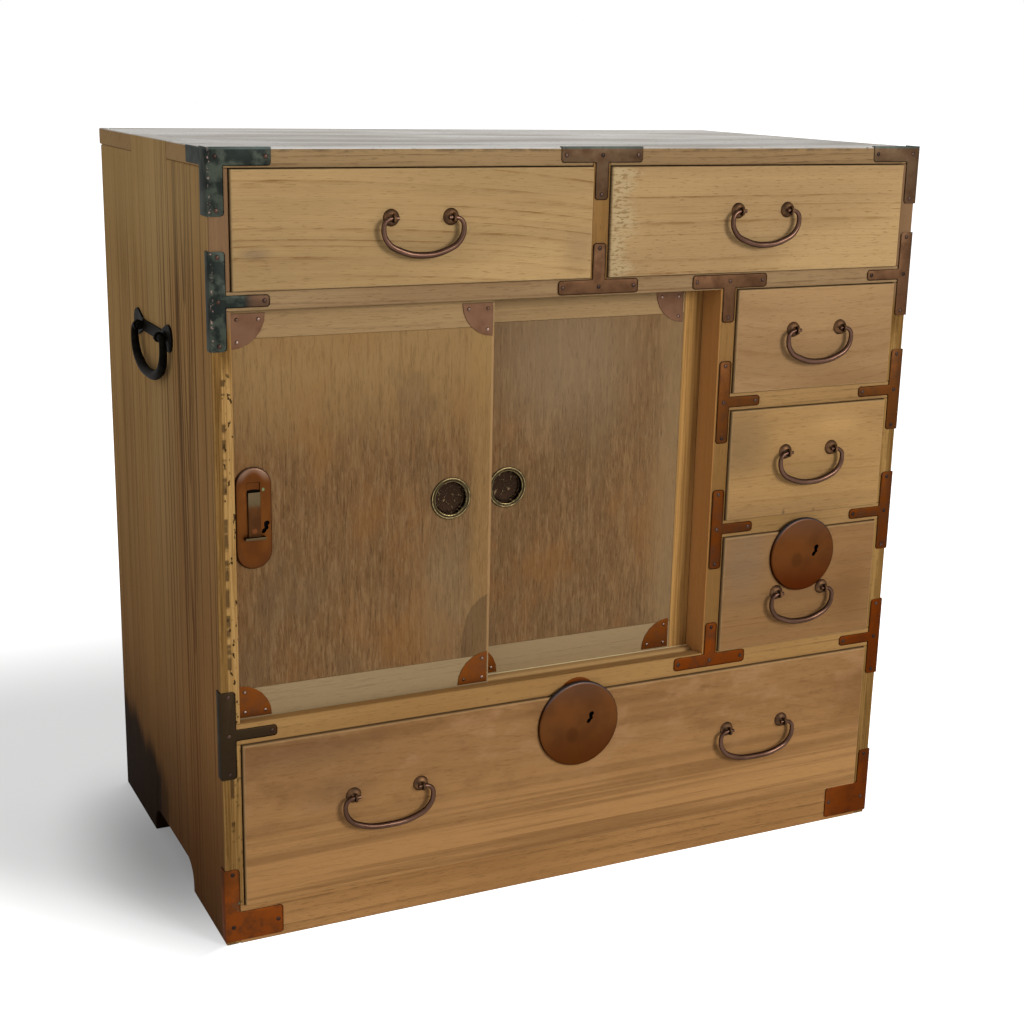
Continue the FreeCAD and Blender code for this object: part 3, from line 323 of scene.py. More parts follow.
def paulownia(name, along, over, pale, warm, line, shift, spacing=0.012, wave=0.03, lines=0.7,
              pores=0.4, pore_size=(80, 1000), streaks=0.5, hairs=0.12, bow=(0.0, 0.0),
              depth=0.0003, extra=None):
    """Bare aged wood with its grain along one axis and its rings spaced over another."""
    timber = Finish(name, gloss=0.02)
    third = ({"X", "Y", "Z"} - {along, over}).pop()
    sway = timber.noise(by_axis(along, 1.3, 4), shift)
    ripple = timber.noise(by_axis(along, 7, 14), shift + 1)
    flow = getattr(timber, over.lower()) + getattr(timber, third.lower()) * 0.5
    flow = flow + sway * wave + ripple * (wave * 0.15)
    middle, bend = bow
    if bend:
        reach = getattr(timber, along.lower()) - middle
        flow = flow + reach * reach * bend
    ring = (flow * (1 / spacing) + timber.bands(flow * 22) * 3 + shift).saw()
    late = (ring.rise(0.72, 0.95) + ring.rise(0.3, 0.9) * 0.3) - ring.rise(0.97, 1.0) * 1.3
    strength = timber.noise(by_axis(along, 2.5, 40), shift + 2).rise(0.36, 0.64)
    fibre = timber.noise(by_axis(along, 16, 800), shift, 3.0, 0.65)
    streak = timber.noise(by_axis(along, 1.6, 70), shift + 3)
    patch = timber.noise(by_axis(along, 3, 8), shift + 4, 3.0)
    mottle = ((patch - 0.5) + (streak - 0.5) * streaks).rise(-0.12, 0.16)
    hair = timber.bands(flow * 900, 2.0, 0.7)
    broken = timber.noise(by_axis(along, 35, 300), shift + 6, 3.0, 0.6).rise(0.4, 0.58)
    marked = late * strength * (broken * 0.7 + 0.3)
    pore = timber.noise(by_axis(along, *pore_size), shift + 5, 2.0, 0.6).rise(0.58, 0.72)
    colour = timber.coats(timber.blend(mottle, pale, warm),
                          (hair.rise(0.5, 0.66) * hairs + fibre.rise(0.52, 0.68) * 0.12, line),
                          (marked * lines, line), (pore * pores, line))
    if extra:
        colour = extra(timber, colour)
    relief = fibre * 0.5 - marked * 0.35 - pore * 0.5 - hair * 0.2
    return timber.spread(colour, 0.66 + fibre * 0.3, relief, depth)


def board(node, ease, material, ending="_wood", angle=25):
    """The joiner's piece as it is, with its edges eased."""
    return fitted(eased(copied(node, node + ending), ease, 2, angle), node, material)


low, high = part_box("left_side_board")
right_low, right_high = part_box("right_side_board")


def side_weather(timber, colour):
    """Arched dark streaks behind the front edge, a dark foot, and a worn front edge."""
    x, y, z = timber.x, timber.y, timber.z
    drip = timber.noise((3, 30, 2.5), 3.0, 4.0, 0.6)
    thin = timber.noise((2, 210, 1.3), 6.0, 3.0, 0.6)
    pale_thread = timber.noise((2, 260, 1.6), 2.0, 3.0, 0.6)
    front = y.rise(0.03, -0.06)
    band = y.rise(0.045, 0.0) * y.rise(-0.085, -0.05)
    off = y + 0.112 + drip * 0.012
    arch = ((off * off * 900 - z) * 6 + drip * 1.2).saw()
    zone = timber.near((low.x, -0.112, 0.52), (1, 0.036, 0.42), 0.35)
    dark = (arch.rise(0.5, 0.85) - arch.rise(0.95, 1.0)) * (thin.rise(0.42, 0.55) * 0.45 + 0.55)
    foot = (0.56 - z + drip * 0.3).rise(0.05, 0.62)
    # Near-black at the back of the left board's foot.
    level = z + drip * 0.06 - y * 0.15
    dark_back_foot = level.rise(0.13, 0.095) * (y + drip * 0.12).rise(0.06, 0.12) * x.rise(0.1, -0.1)
    upper = z.rise(high.z - 0.0012, high.z - 0.0004)
    # Darker towards the foot and paler near the top, partly painted light falling off downwards.
    colour = timber.coats(
        colour, (front * 0.55, (0.27, 0.135, 0.047)), (band * 0.35, (0.4, 0.27, 0.115)),
        (dark * zone * 0.95, (0.045, 0.02, 0.008)),
        (thin.rise(0.52, 0.6) * (front * 0.6 + 0.35), (0.085, 0.043, 0.017)),
        (pale_thread.rise(0.55, 0.65) * 0.3, (0.46, 0.29, 0.12)),
        (foot * 0.6, (0.17, 0.066, 0.02)), (z.rise(0.24, 0.03) * 0.7, (0.06, 0.021, 0.006)),
        (dark_back_foot * 0.93, (0.007, 0.003, 0.0012)), (z.rise(0.6, 0.72) * 0.35, (0.5, 0.33, 0.14)),
        (upper * 0.9, (0.55, 0.53, 0.5)))
    chips = timber.noise((60, 60, 90), 4.0, 4.0, 0.7)
    on_left, on_right = (x - low.x).least(high.x - x), (x - right_low.x).least(right_high.x - x)
    arris = (on_left.most(on_right) + chips * 0.004).rise(0.0042, 0.003)
    grain = timber.noise((700, 1, 14), 5.0, 3.0, 0.6).rise(0.42, 0.62)
    outer = x.rise(0, -0.01) * (high.x - x) + x.rise(0, 0.01) * (x - right_low.x)
    bare = outer.rise(0.0118, 0.0092) * z.rise(0.58, 0.55)
    left_more = x.rise(0.1, -0.1) * 0.75 + 0.2
    above_tee = z.rise(0.15, 0.22) * 0.6 + 0.4
    notch = timber.noise((260, 1, 150), 2.0, 2.0, 0.5).rise(0.61, 0.66)
    crack = outer - 0.009
    crack = (crack + chips * 0.002).rise(-0.0012, 0.0) * crack.rise(0.0028, 0.0012)
    crack = crack * z.rise(0.585, 0.57) * left_more
    worn = timber.coats(
        timber.blend(grain, (0.2, 0.105, 0.03), (0.12, 0.06, 0.016)),
        (bare * (left_more * 0.5 + 0.38) * above_tee,
         timber.blend(grain, (0.42, 0.245, 0.085), (0.3, 0.165, 0.05))),
        (arris * 0.4, (0.32, 0.18, 0.062)), (z.rise(0.59, 0.61) * 0.8, (0.2, 0.115, 0.062)),
        (notch * bare * left_more * above_tee, (0.025, 0.012, 0.005)),
        (crack * timber.noise((1, 1, 90), 3.0).rise(0.46, 0.56) * 0.8, (0.04, 0.02, 0.008)))
    return timber.blend(y.rise(low.y + 0.0021, low.y + 0.0012), colour, worn)


side_wood = paulownia("weathered_side_wood", "Z", "Y", (0.4, 0.235, 0.085), (0.32, 0.183, 0.062),
                      (0.11, 0.057, 0.02), 1.0, spacing=0.009, wave=0.03, lines=0.4, hairs=0.3,
                      extra=side_weather)
board("left_side_board", ease=0.0015, material=side_wood)
board("right_side_board", ease=0.0015, material=side_wood)


def top_weather(timber, colour):
    """Bleached grey upper face with dark rot specks, above edges that stayed golden."""
    upper = timber.z.rise(high.z - 0.0014, high.z - 0.0004)
    specks = timber.noise((90, 260, 200), 5.0, 3.0, 0.7).rise(0.62, 0.7)
    patch = timber.noise((5, 22, 6), 7.0, 4.0)
    streak = timber.noise((3, 190, 6), 9.0, 3.0, 0.6)
    grey = timber.blend((patch * 0.6 + streak * 0.4).rise(0.4, 0.62), (0.68, 0.66, 0.63),
                        (0.46, 0.43, 0.39))
    grey = timber.blend(specks * 0.85, grey, (0.06, 0.045, 0.035))
    nibbled = timber.noise((70, 30, 90), 8.0, 4.0, 0.7)
    arris = timber.z.rise(high.z - 0.005, high.z - 0.002) * nibbled.rise(0.45, 0.6)
    ends = timber.x.rise(low.x + 0.0014, low.x + 0.0004)
    return timber.coats(colour, (arris * 0.6, (0.1, 0.065, 0.035)),
                        (ends * 0.5, (0.42, 0.25, 0.11)), (upper * 0.95, grey))


board("top_board", 0.0015, paulownia("weathered_top_wood", "X", "Z", (0.3, 0.195, 0.092),
                                     (0.26, 0.162, 0.076), (0.12, 0.065, 0.03), 2.0,
                                     spacing=0.009, extra=top_weather))
rail_colours = {"upper_shelf": ((0.3, 0.195, 0.096), (0.25, 0.155, 0.075)),
                "lower_shelf": ((0.34, 0.19, 0.066), (0.29, 0.155, 0.052)),
                "small_rail": ((0.31, 0.18, 0.07), (0.25, 0.14, 0.05)),
                "base_rail": ((0.385, 0.2, 0.072), (0.3, 0.15, 0.052))}
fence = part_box("right_door_panel")[0].y


def track_painted_light(timber, colour):
    """Painted light on the track before the right door: a pale sunk floor and a crest highlight.
    """
    open_run = (timber.x.rise(-0.107, -0.105) * timber.z.rise(0.15, 0.2)
                * timber.y.rise(fence + 0.002, fence + 0.001))
    # The sunk track is painted pale, painted light against the shade that falls in it.
    sunk = open_run * timber.y.rise(low.y + 0.0105, low.y + 0.0125)
    # The fence's crest gets a painted highlight, a thin near-white line.
    crest_highlight = open_run * timber.y.rise(fence - 0.0045, fence - 0.0025)
    return timber.coats(colour, (sunk * 0.6, (0.4, 0.25, 0.105)),
                        (crest_highlight * 0.95, (0.95, 0.83, 0.5)))


rail_woods = {name: paulownia(name + "_wood", "X", "Z", pale, warm, (0.11, 0.055, 0.022),
                              3.0 + number, spacing=0.011, wave=0.015, lines=0.45,
                              extra=track_painted_light if name == "lower_shelf" else None)
              for number, (name, (pale, warm)) in enumerate(rail_colours.items())}
for node, wood in (("upper_shelf", "upper_shelf"), ("lower_shelf", "lower_shelf"),
                   ("upper_small_shelf", "small_rail"), ("lower_small_shelf", "small_rail"),
                   ("base_rail", "base_rail"), ("bottom_board", "base_rail")):
    board(node, ease=0.001, material=rail_woods[wood])
shadow_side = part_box("cupboard_divider")[0].x + 0.0008


def reveal(timber, colour):
    """The divider's face to the cupboard is a clearer orange."""
    facing = timber.x.rise(shadow_side + 0.0004, shadow_side - 0.0004) * timber.x.rise(0.1, 0.12)
    orange = timber.blend(timber.noise((2, 160, 2)), (0.5, 0.235, 0.072), (0.39, 0.175, 0.05))
    return timber.blend(facing, colour, orange)


upright_wood = paulownia("upright_wood", "Z", "X", (0.26, 0.14, 0.047), (0.2, 0.1, 0.03),
                         (0.09, 0.045, 0.017), 4.0, spacing=0.01, wave=0.012, lines=0.5,
                         extra=reveal)
for node in ("top_divider", "cupboard_divider"):
    board(node, ease=0.001, material=upright_wood)
board("back_boards", 0.0008, paulownia("back_wood", "X", "Z", (0.36, 0.24, 0.12),
                                       (0.29, 0.18, 0.08), (0.1, 0.055, 0.025), 6.0))

# ---------------------------------------- drawers
# Paulownia drawers: a planed front with stained wood, worn edges with a painted highlight and
# painted shade on its sides in the gap, and a box of thin sides, back and bottom behind it,
# which has stayed pale.


def front_wear_and_shade(node, marks, rough_end, banded):
    """A thin pale arris, stains, one end left pitted, or golden bands towards the foot."""
    low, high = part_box(node)

    def wear(timber, colour):
        x, y, z = timber.x, timber.y, timber.z
        ragged = timber.noise((60, 60, 60), 2.0, 4.0, 0.7)
        if rough_end:
            rough = x - low.x + timber.noise((20, 1, 90), 4.0, 3.0, 0.6) * 0.06
            pits = timber.noise((130, 1, 420), 6.0, 3.0, 0.65)
            bare = timber.blend(pits.rise(0.5, 0.58), (0.42, 0.32, 0.175), (0.2, 0.13, 0.06))
            colour = timber.blend(rough.rise(0.06, 0.035) * 0.65, colour, bare)
        if banded:
            band = timber.noise((1.6, 1, 125), 4.0, 4.0, 0.6)
            lower = (z + ragged * 0.03).rise(0.19, 0.07)
            cloud = timber.noise((16, 1, 30), 9.0, 4.0, 0.65)
            colour = timber.coats(
                colour, (lower * (band.rise(0.44, 0.58) * 0.6 + 0.2), (0.42, 0.22, 0.08)),
                (lower * band.rise(0.46, 0.36) * 0.42, (0.19, 0.088, 0.028)),
                ((1 - lower) * cloud.rise(0.5, 0.66) * 0.45, (0.36, 0.2, 0.095)),
                ((1 - lower) * cloud.rise(0.46, 0.34) * 0.4, (0.17, 0.08, 0.033)))
        for place, reach, tone, strength in marks:
            blot = timber.near((place[0], low.y, place[1]), (reach[0], 0.05, reach[1]), 0.9)
            colour = timber.blend(blot * strength * (ragged * 0.6 + 0.7), colour, tone)
        inset = (x - low.x).least(high.x - x).least(z - low.z).least(high.z - z)
        # The pale arris is worn, and partly a painted highlight on the eased edge.
        rim = (inset + ragged * 0.002).rise(0.0028, 0.0016)
        # The front's sides, seen in the gap round it, are painted dark: painted shade of the gap.
        gap_shade = y.rise(low.y + 0.0014, low.y + 0.0035)
        return timber.coats(colour, (rim * 0.35, (0.46, 0.31, 0.15)),
                            (gap_shade * 0.7, (0.07, 0.04, 0.018)))
    return wear


grey_smudge, dark_smudge = (0.17, 0.12, 0.075), (0.1, 0.06, 0.03)
# The lower drawers' tones are darker, partly painted shade of light falling off downwards.
# Each mark has its place across and up the front, its reach, its tone and its strength.
drawers = {
    "top_left_drawer": dict(
        pale=(0.42, 0.27, 0.118), warm=(0.335, 0.215, 0.095), spacing=0.0105, wave=0.016,
        bow=(-0.33, 0.2), lines=0.58,
        marks=[((-0.341, 0.667), (0.022, 0.008), grey_smudge, 0.5),
               ((-0.02, 0.66), (0.03, 0.03), (0.24, 0.15, 0.075), 0.5)]),
    "top_right_drawer": dict(
        pale=(0.41, 0.265, 0.118), warm=(0.34, 0.215, 0.098), spacing=0.012, wave=0.02,
        lines=0.5, pores=0.6, rough_end=True),
    "upper_small_drawer": dict(
        pale=(0.335, 0.2, 0.092), warm=(0.275, 0.16, 0.072), spacing=0.016, wave=0.03,
        lines=0.35, bow=(0.27, -1.2),
        marks=[((0.3, 0.514), (0.12, 0.025), (0.22, 0.12, 0.05), 0.6)]),
    "middle_small_drawer": dict(
        pale=(0.345, 0.2, 0.076), warm=(0.275, 0.158, 0.064), spacing=0.02, wave=0.04,
        lines=0.25,
        marks=[((0.18, 0.455), (0.055, 0.05), (0.19, 0.115, 0.052), 0.7),
               ((0.3, 0.47), (0.05, 0.02), (0.46, 0.28, 0.11), 0.4),
               ((0.237, 0.374), (0.003, 0.01), dark_smudge, 0.9),
               ((0.276, 0.373), (0.003, 0.008), dark_smudge, 0.8)]),
    "lower_small_drawer": dict(
        pale=(0.25, 0.132, 0.052), warm=(0.205, 0.108, 0.044), spacing=0.014, wave=0.03,
        lines=0.4,
        marks=[((0.19, 0.33), (0.05, 0.08), grey_smudge, 0.45),
               ((0.33, 0.28), (0.04, 0.06), (0.16, 0.07, 0.025), 0.5)]),
    "bottom_drawer": dict(
        pale=(0.275, 0.143, 0.055), warm=(0.22, 0.11, 0.041), spacing=0.018, wave=0.05,
        lines=0.28, hairs=0.06, bow=(-0.6, 0.16), streaks=0.9, banded=True,
        marks=[((-0.3, 0.19), (0.12, 0.03), (0.14, 0.07, 0.035), 0.45),
               ((-0.27, 0.145), (0.06, 0.03), (0.15, 0.075, 0.036), 0.4),
               ((0.36, 0.15), (0.07, 0.06), (0.17, 0.08, 0.027), 0.6)]),
}
inner_wood = paulownia("drawer_inner_wood", "Y", "Z", (0.46, 0.35, 0.2), (0.38, 0.27, 0.14),
                       (0.2, 0.12, 0.06), 8.0, lines=0.4)
for number, (drawer, grain) in enumerate(drawers.items()):
    wear = front_wear_and_shade(drawer + "_front", grain.pop("marks", ()), grain.pop("rough_end", False),
                      grain.pop("banded", False))
    front = paulownia(drawer + "_front_wood", "X", "Z", line=(0.17, 0.076, 0.022),
                      shift=11.0 + number * 3, extra=wear, **grain)
    board(drawer + "_front", ease=0.0008, material=front)
    board(drawer + "_box", ease=0.0006, material=inner_wood)

# ---------------------------------------- sliding doors
# Each door is an upright paulownia board, scorched and brushed so that the hard grain stands
# up, between two paler cleats. Small copper plates are nailed over its corners.


def door_stain(side):
    """A smooth golden head and a brown mottled foot, with one damp stain and a rubbed edge."""
    low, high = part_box(side + "_door_panel")

    def stain(timber, colour):
        hair = timber.noise((560, 60, 80), 3.0, 4.0, 0.7, 0.5)
        blot = timber.noise((13, 14, 8), 3.0, 4.0, 0.65)
        smear = timber.noise((240, 1, 30), 5.0, 4.0, 0.65)
        head = (timber.z + blot * 0.08 - 0.04).rise(0.45, 0.58)
        if side == "left":
            colour = timber.blend(head * 0.8, colour, (0.285, 0.172, 0.068))
        colour = timber.coats(
            colour, (smear.rise(0.5, 0.62) * 0.34, (0.26, 0.157, 0.07)),
            (smear.rise(0.46, 0.36) * 0.26, (0.115, 0.062, 0.028)),
            (hair.rise(0.52, 0.64) * (1 - head * 0.8) * 0.32, (0.27, 0.172, 0.085)),
            (hair.rise(0.47, 0.36) * (1 - head * 0.7) * 0.35, (0.065, 0.033, 0.014)),
            (blot.rise(0.5, 0.68) * (1 - head * 0.6) * 0.42, (0.215, 0.092, 0.026)),
            (blot.rise(0.46, 0.34) * 0.3, (0.13, 0.085, 0.045)))
        if side == "right":
            faded = (timber.x - high.x + 0.034 + blot * 0.02).rise(0.0, 0.04)
            grey = timber.near((-0.01, low.y, 0.56), (0.13, 1, 0.13), 0.9)
            return timber.coats(colour, (faded * 0.6, (0.25, 0.165, 0.08)),
                                (grey * 0.5, (0.24, 0.17, 0.1)))
        rubbed = (timber.x - high.x + 0.026 + blot * 0.012).rise(0.0, 0.02)
        wan = timber.near((-0.15, low.y, 0.33), (0.05, 1, 0.12), 0.9)
        swirl = timber.noise((40, 1, 22), 9.0, 3.0, 0.5) * 0.5
        damp = timber.near((-0.1, low.y, 0.262), (0.035, 0.05, 0.07), 0.5) + swirl
        arris = timber.x.rise(high.x - 0.0032, high.x - 0.0022)
        return timber.coats(colour, (rubbed * 0.45, (0.28, 0.165, 0.06)),
                            (wan * 0.35, (0.22, 0.155, 0.08)),
                            (damp.rise(0.36, 0.4) * 0.55, (0.09, 0.052, 0.026)),
                            (arris * 0.7, (0.34, 0.2, 0.088)))
    return stain


def cleat_stain(timber, colour):
    """The lower cleats are greyer, the upper ones warm, and the right door's edge golden."""
    colour = timber.blend(timber.z.rise(0.45, 0.4) * 0.6, colour, (0.255, 0.19, 0.105))
    upright = timber.noise((500, 30, 8), 4.0, 3.0, 0.6)
    golden = timber.blend(upright.rise(0.4, 0.62), (0.42, 0.225, 0.07), (0.29, 0.15, 0.043))
    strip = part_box("right_door_panel")[1].x
    return timber.blend(timber.x.rise(strip, strip + 0.0006), colour, golden)


cleat_wood = paulownia("cleat_wood", "X", "Z", (0.32, 0.205, 0.095), (0.27, 0.17, 0.078),
                       (0.13, 0.075, 0.035), 23.0, spacing=0.014, lines=0.3, extra=cleat_stain)
for side, shade in (("left", (0.178, 0.093, 0.037)), ("right", (0.172, 0.093, 0.039))):
    wood = paulownia(side + "_door_wood", "Z", "X", shade, tuple(part * 0.88 for part in shade),
                     (0.085, 0.045, 0.02), 21.0, spacing=0.011, wave=0.02, lines=0.22, pores=0.6,
                     pore_size=(70, 700), depth=0.0006, extra=door_stain(side))
    board(side + "_door_panel", ease=0.0006, material=wood)
    board(side + "_door_cleats", ease=0.0008, material=cleat_wood)

# ---------------------------------------- copper plates and nails
# Sheet copper cut to tees and corners, bent round the edges of the case and nailed down.
# Upper plates went blue-green and purple, the lower ones stayed brown; their warmer red towards
# the foot is partly painted light.


def mottled(name, stops, blotch, strength, size=70):
    """Copper whose colour passes through the stops with height, blotched all over."""
    copper = Finish(name, metal=1.0)
    mottle = copper.noise((size, size, size), 1.0, 4.0, 0.6)
    fine = copper.noise((600, 600, 600), 2.0, 3.0, 0.6)
    colour = copper.blend(mottle.rise(0.42, 0.7) * strength, copper.grade(copper.z, stops),
                          blotch)
    return copper, colour, mottle, 0.42 + mottle * 0.25, mottle + fine * 0.25


# The colour's change with height is partly painted light, redder towards the foot.
copper, colour, mottle, sheen, relief = mottled(
    "patinated_copper", [(0.05, (0.132, 0.032, 0.005)), (0.07, (0.08, 0.022, 0.0045)),
                         (0.1, (0.09, 0.022, 0.004)), (0.23, (0.1, 0.022, 0.0025)),
                         (0.38, (0.066, 0.0165, 0.0022)), (0.5, (0.069, 0.0225, 0.005)),
                         (0.62, (0.074, 0.036, 0.0175)), (0.76, (0.066, 0.04, 0.022))],
    blotch=(0.042, 0.019, 0.009), strength=0.6)
left_end = copper.x.rise(-0.308, -0.33)
teal = left_end * copper.z.rise(0.53, 0.55)
bright = copper.z.rise(0.728, 0.715) * copper.z.rise(0.66, 0.67) + copper.z.rise(0.6, 0.58)
teal_tone = copper.blend((mottle + bright * 0.1).rise(0.44, 0.64), (0.0115, 0.0138, 0.0118),
                         (0.037, 0.043, 0.033))
arm_end = copper.x.rise(-0.352, -0.34) * copper.z.rise(0.64, 0.63)
teal_tone = copper.blend(arm_end * 0.85, teal_tone, (0.068, 0.036, 0.02))
low_right = copper.x.rise(0.3, 0.36) * copper.z.rise(0.36, 0.27)
fold_grey = copper.z.rise(high.z - 0.0016, high.z - 0.0004)
tarnish = copper.x.rise(-0.3, -0.34) * copper.z.rise(0.14, 0.16) * copper.z.rise(0.3, 0.28)
bloom = copper.noise((330, 330, 330), 8.0, 3.0, 0.6).rise(0.54, 0.62)
verdigris = copper.near((-0.3625, -0.204, 0.042), (0.014, 0.02, 0.009), 0.8)
rub = (copper.x - low.x).rise(0.003, 0.0015) * copper.x.rise(low.x - 0.0006, low.x) * bloom
colour = copper.coats(
    colour, (teal, teal_tone), (low_right * 0.6, (0.06, 0.0105, 0.0005)),
    (fold_grey * 0.9, (0.042, 0.052, 0.046)), (tarnish, (0.0225, 0.014, 0.007)),
    (verdigris * bloom * 0.9, (0.072, 0.144, 0.1)), (rub * teal * 0.8, (0.21, 0.14, 0.12)))
plate_copper = copper.spread(colour, sheen, relief, 0.0004)


def picked(made, kind, wanted):
    """Opens the piece for shaping with only its wanted corners, edges or faces selected."""
    take(made)
    bpy.ops.object.mode_set(mode="EDIT")
    bpy.ops.mesh.select_all(action="DESELECT")
    bpy.ops.object.mode_set(mode="OBJECT")
    for element in getattr(made.data, kind):
        element.select = wanted(element)
    bpy.ops.object.mode_set(mode="EDIT")


def metal_sheet(node, round_off, name):
    """Rounds the sheet's cut corners, then its edges."""
    made = copied(node, name)

    def through_sheet(edge):
        one, other = (made.data.vertices[corner].co for corner in edge.vertices)
        way = other - one
        return 0.0006 < way.length < 0.0015 and abs(way.y) > way.length * 0.99

    picked(made, "edges", through_sheet)
    bpy.ops.mesh.bevel(offset=round_off, segments=3, affect="EDGES")
    bpy.ops.object.mode_set(mode="OBJECT")
    return eased(made, 0.0003, 2, 40)


for node in ("corner_plates", "edge_plates", "divider_plates"):
    fitted(metal_sheet(node, round_off=0.0012, name=node + "_sheet"), node, plate_copper)
fitted(metal_sheet("keeper_plate", round_off=0.0003, name="keeper_sheet"), "keeper_plate",
       plate_copper)


def centres(node):
    """The middle of each separate solid of one of the joiner's pieces."""
    copied(node, "spare")
    bpy.ops.object.mode_set(mode="EDIT")
    bpy.ops.mesh.select_all(action="SELECT")
    bpy.ops.mesh.separate(type="LOOSE")
    bpy.ops.object.mode_set(mode="OBJECT")
    places = []
    for lump in list(bpy.context.selected_objects):
        rows = zip(*(vertex.co for vertex in lump.data.vertices))
        places.append(tuple((min(row) + max(row)) / 2 for row in rows))
        bpy.data.objects.remove(lump)
    return sorted(places)


to_front = Matrix.Rotation(math.pi / 2, 4, "X")


def dome(name, radius, height, place, sides=12):
    """A forged head: half a ball, flattened, facing the front."""
    made = added(bpy.ops.mesh.primitive_uv_sphere_add, name, segments=sides, ring_count=8,
                 radius=radius)
    bpy.ops.object.mode_set(mode="EDIT")
    bpy.ops.mesh.select_all(action="SELECT")
    bpy.ops.mesh.bisect(plane_co=(0, 0, 0), plane_no=(0, 0, 1), use_fill=True, clear_inner=True)
    bpy.ops.object.mode_set(mode="OBJECT")
    made.data.transform(Matrix.Translation(place) @ to_front
                        @ Matrix.Scale(height / radius, 4, (0, 0, 1)))
    bpy.ops.object.shade_smooth_by_angle(angle=math.radians(50))
    return made


def joined(pieces, name):
    take(pieces[0])
    for piece in pieces:
        piece.select_set(True)
    bpy.ops.object.join()
    pieces[0].name = name
    return pieces[0]


def head_metal(name, base, crown, crevice_shade, tops):
    """Nail heads, painted dark round the crown as shade where they meet the plate; the tops vary.
    """
    nail = Finish(name, metal=1.0)
    worn = nail.noise((45, 45, 45), 3.0)
    # Towards the plate the head is painted dark, painted shade of the crevice round it.
    crowned = nail.y.rise(base - 0.0001, crown)
    tone = nail.blend(crowned, crevice_shade, nail.blend(worn.rise(0.42, 0.58), *tops))
    return nail.spread(tone, 0.3 + worn * 0.2)


nails_low, nails_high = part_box("plate_nails")
heads = [dome("nail", radius=0.0022, height=nails_high.y - nails_low.y,
              place=(x, nails_high.y, z)) for x, y, z in centres("plate_nails")]
fitted(joined(heads, "nail_heads"), "plate_nails",
       head_metal("nail_copper", nails_high.y, nails_low.y + 0.0002, (0.015, 0.009, 0.007),
                  ((0.019, 0.012, 0.01), (0.052, 0.03, 0.022))))

# The colour's change with height is partly painted light, redder towards the foot.
copper, colour, mottle, sheen, relief = mottled(
    "door_corner_copper", [(0.24, (0.12, 0.033, 0.005)), (0.4, (0.11, 0.04, 0.013)),
                           (0.6, (0.1, 0.051, 0.029))],
    blotch=(0.068, 0.031, 0.016), strength=0.5, size=50)
copper.spread(colour, sheen, relief, 0.0002)
for side in ("left", "right"):
    node = side + "_door_corner_plates"
    board(node, ease=0.0003, material=copper.material, ending="_sheet", angle=20)
    sheet_low, sheet_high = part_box(node)
    middle, half_way_up = (sheet_low.x + sheet_high.x) / 2, 0.42
    top, inset, reach = sheet_low.y, 0.0055, 0.0255
    heads = []
    for x, y, z in centres(node):
        corner_x, inward = (sheet_low.x, 1) if x < middle else (sheet_high.x, -1)
        corner_z, rise = (sheet_low.z, 1) if z < half_way_up else (sheet_high.z, -1)
        heads += [dome("nail", radius=0.0019, height=0.0009,
                       place=(corner_x + u * inward, top, corner_z + v * rise))
                  for u, v in ((inset, inset), (reach, inset), (inset, reach))]
    nails = joined(heads, side + "_door_corner_nails")
    nails.data.materials.append(head_metal(side + "_corner_nail", top, top - 0.0007,
                                           (0.018, 0.009, 0.006), ((0.07, 0.038, 0.024),
                                                                   (0.2, 0.13, 0.1))))
    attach(nails, side + "_door")

# ---------------------------------------- finger pulls
# Cast brass cups let into the doors: a rolled rim notched at its four diagonals, an inner lip,
# and a dark sunken floor with curling leaves in low relief.


def ring(name, major, minor, place, flat=1.0):
    """A hoop that faces the front."""
    made = added(bpy.ops.mesh.primitive_torus_add, name, major_radius=major, minor_radius=minor,
                 major_segments=64, minor_segments=12)
    made.data.transform(Matrix.Translation(place) @ to_front
                        @ Matrix.Scale(flat, 4, (0, 0, 1)))
    bpy.ops.object.shade_smooth_by_angle(angle=math.radians(60))
    return made


def carved(made, cutter):
    """Cuts the cutter out of the piece, and throws the cutter away."""
    take(made)
    bite = made.modifiers.new("bite", "BOOLEAN")
    bite.operation = "DIFFERENCE"
    bite.solver = "EXACT"
    bite.object = cutter
    bpy.ops.object.modifier_apply(modifier="bite")
    bpy.data.objects.remove(cutter)
    return made


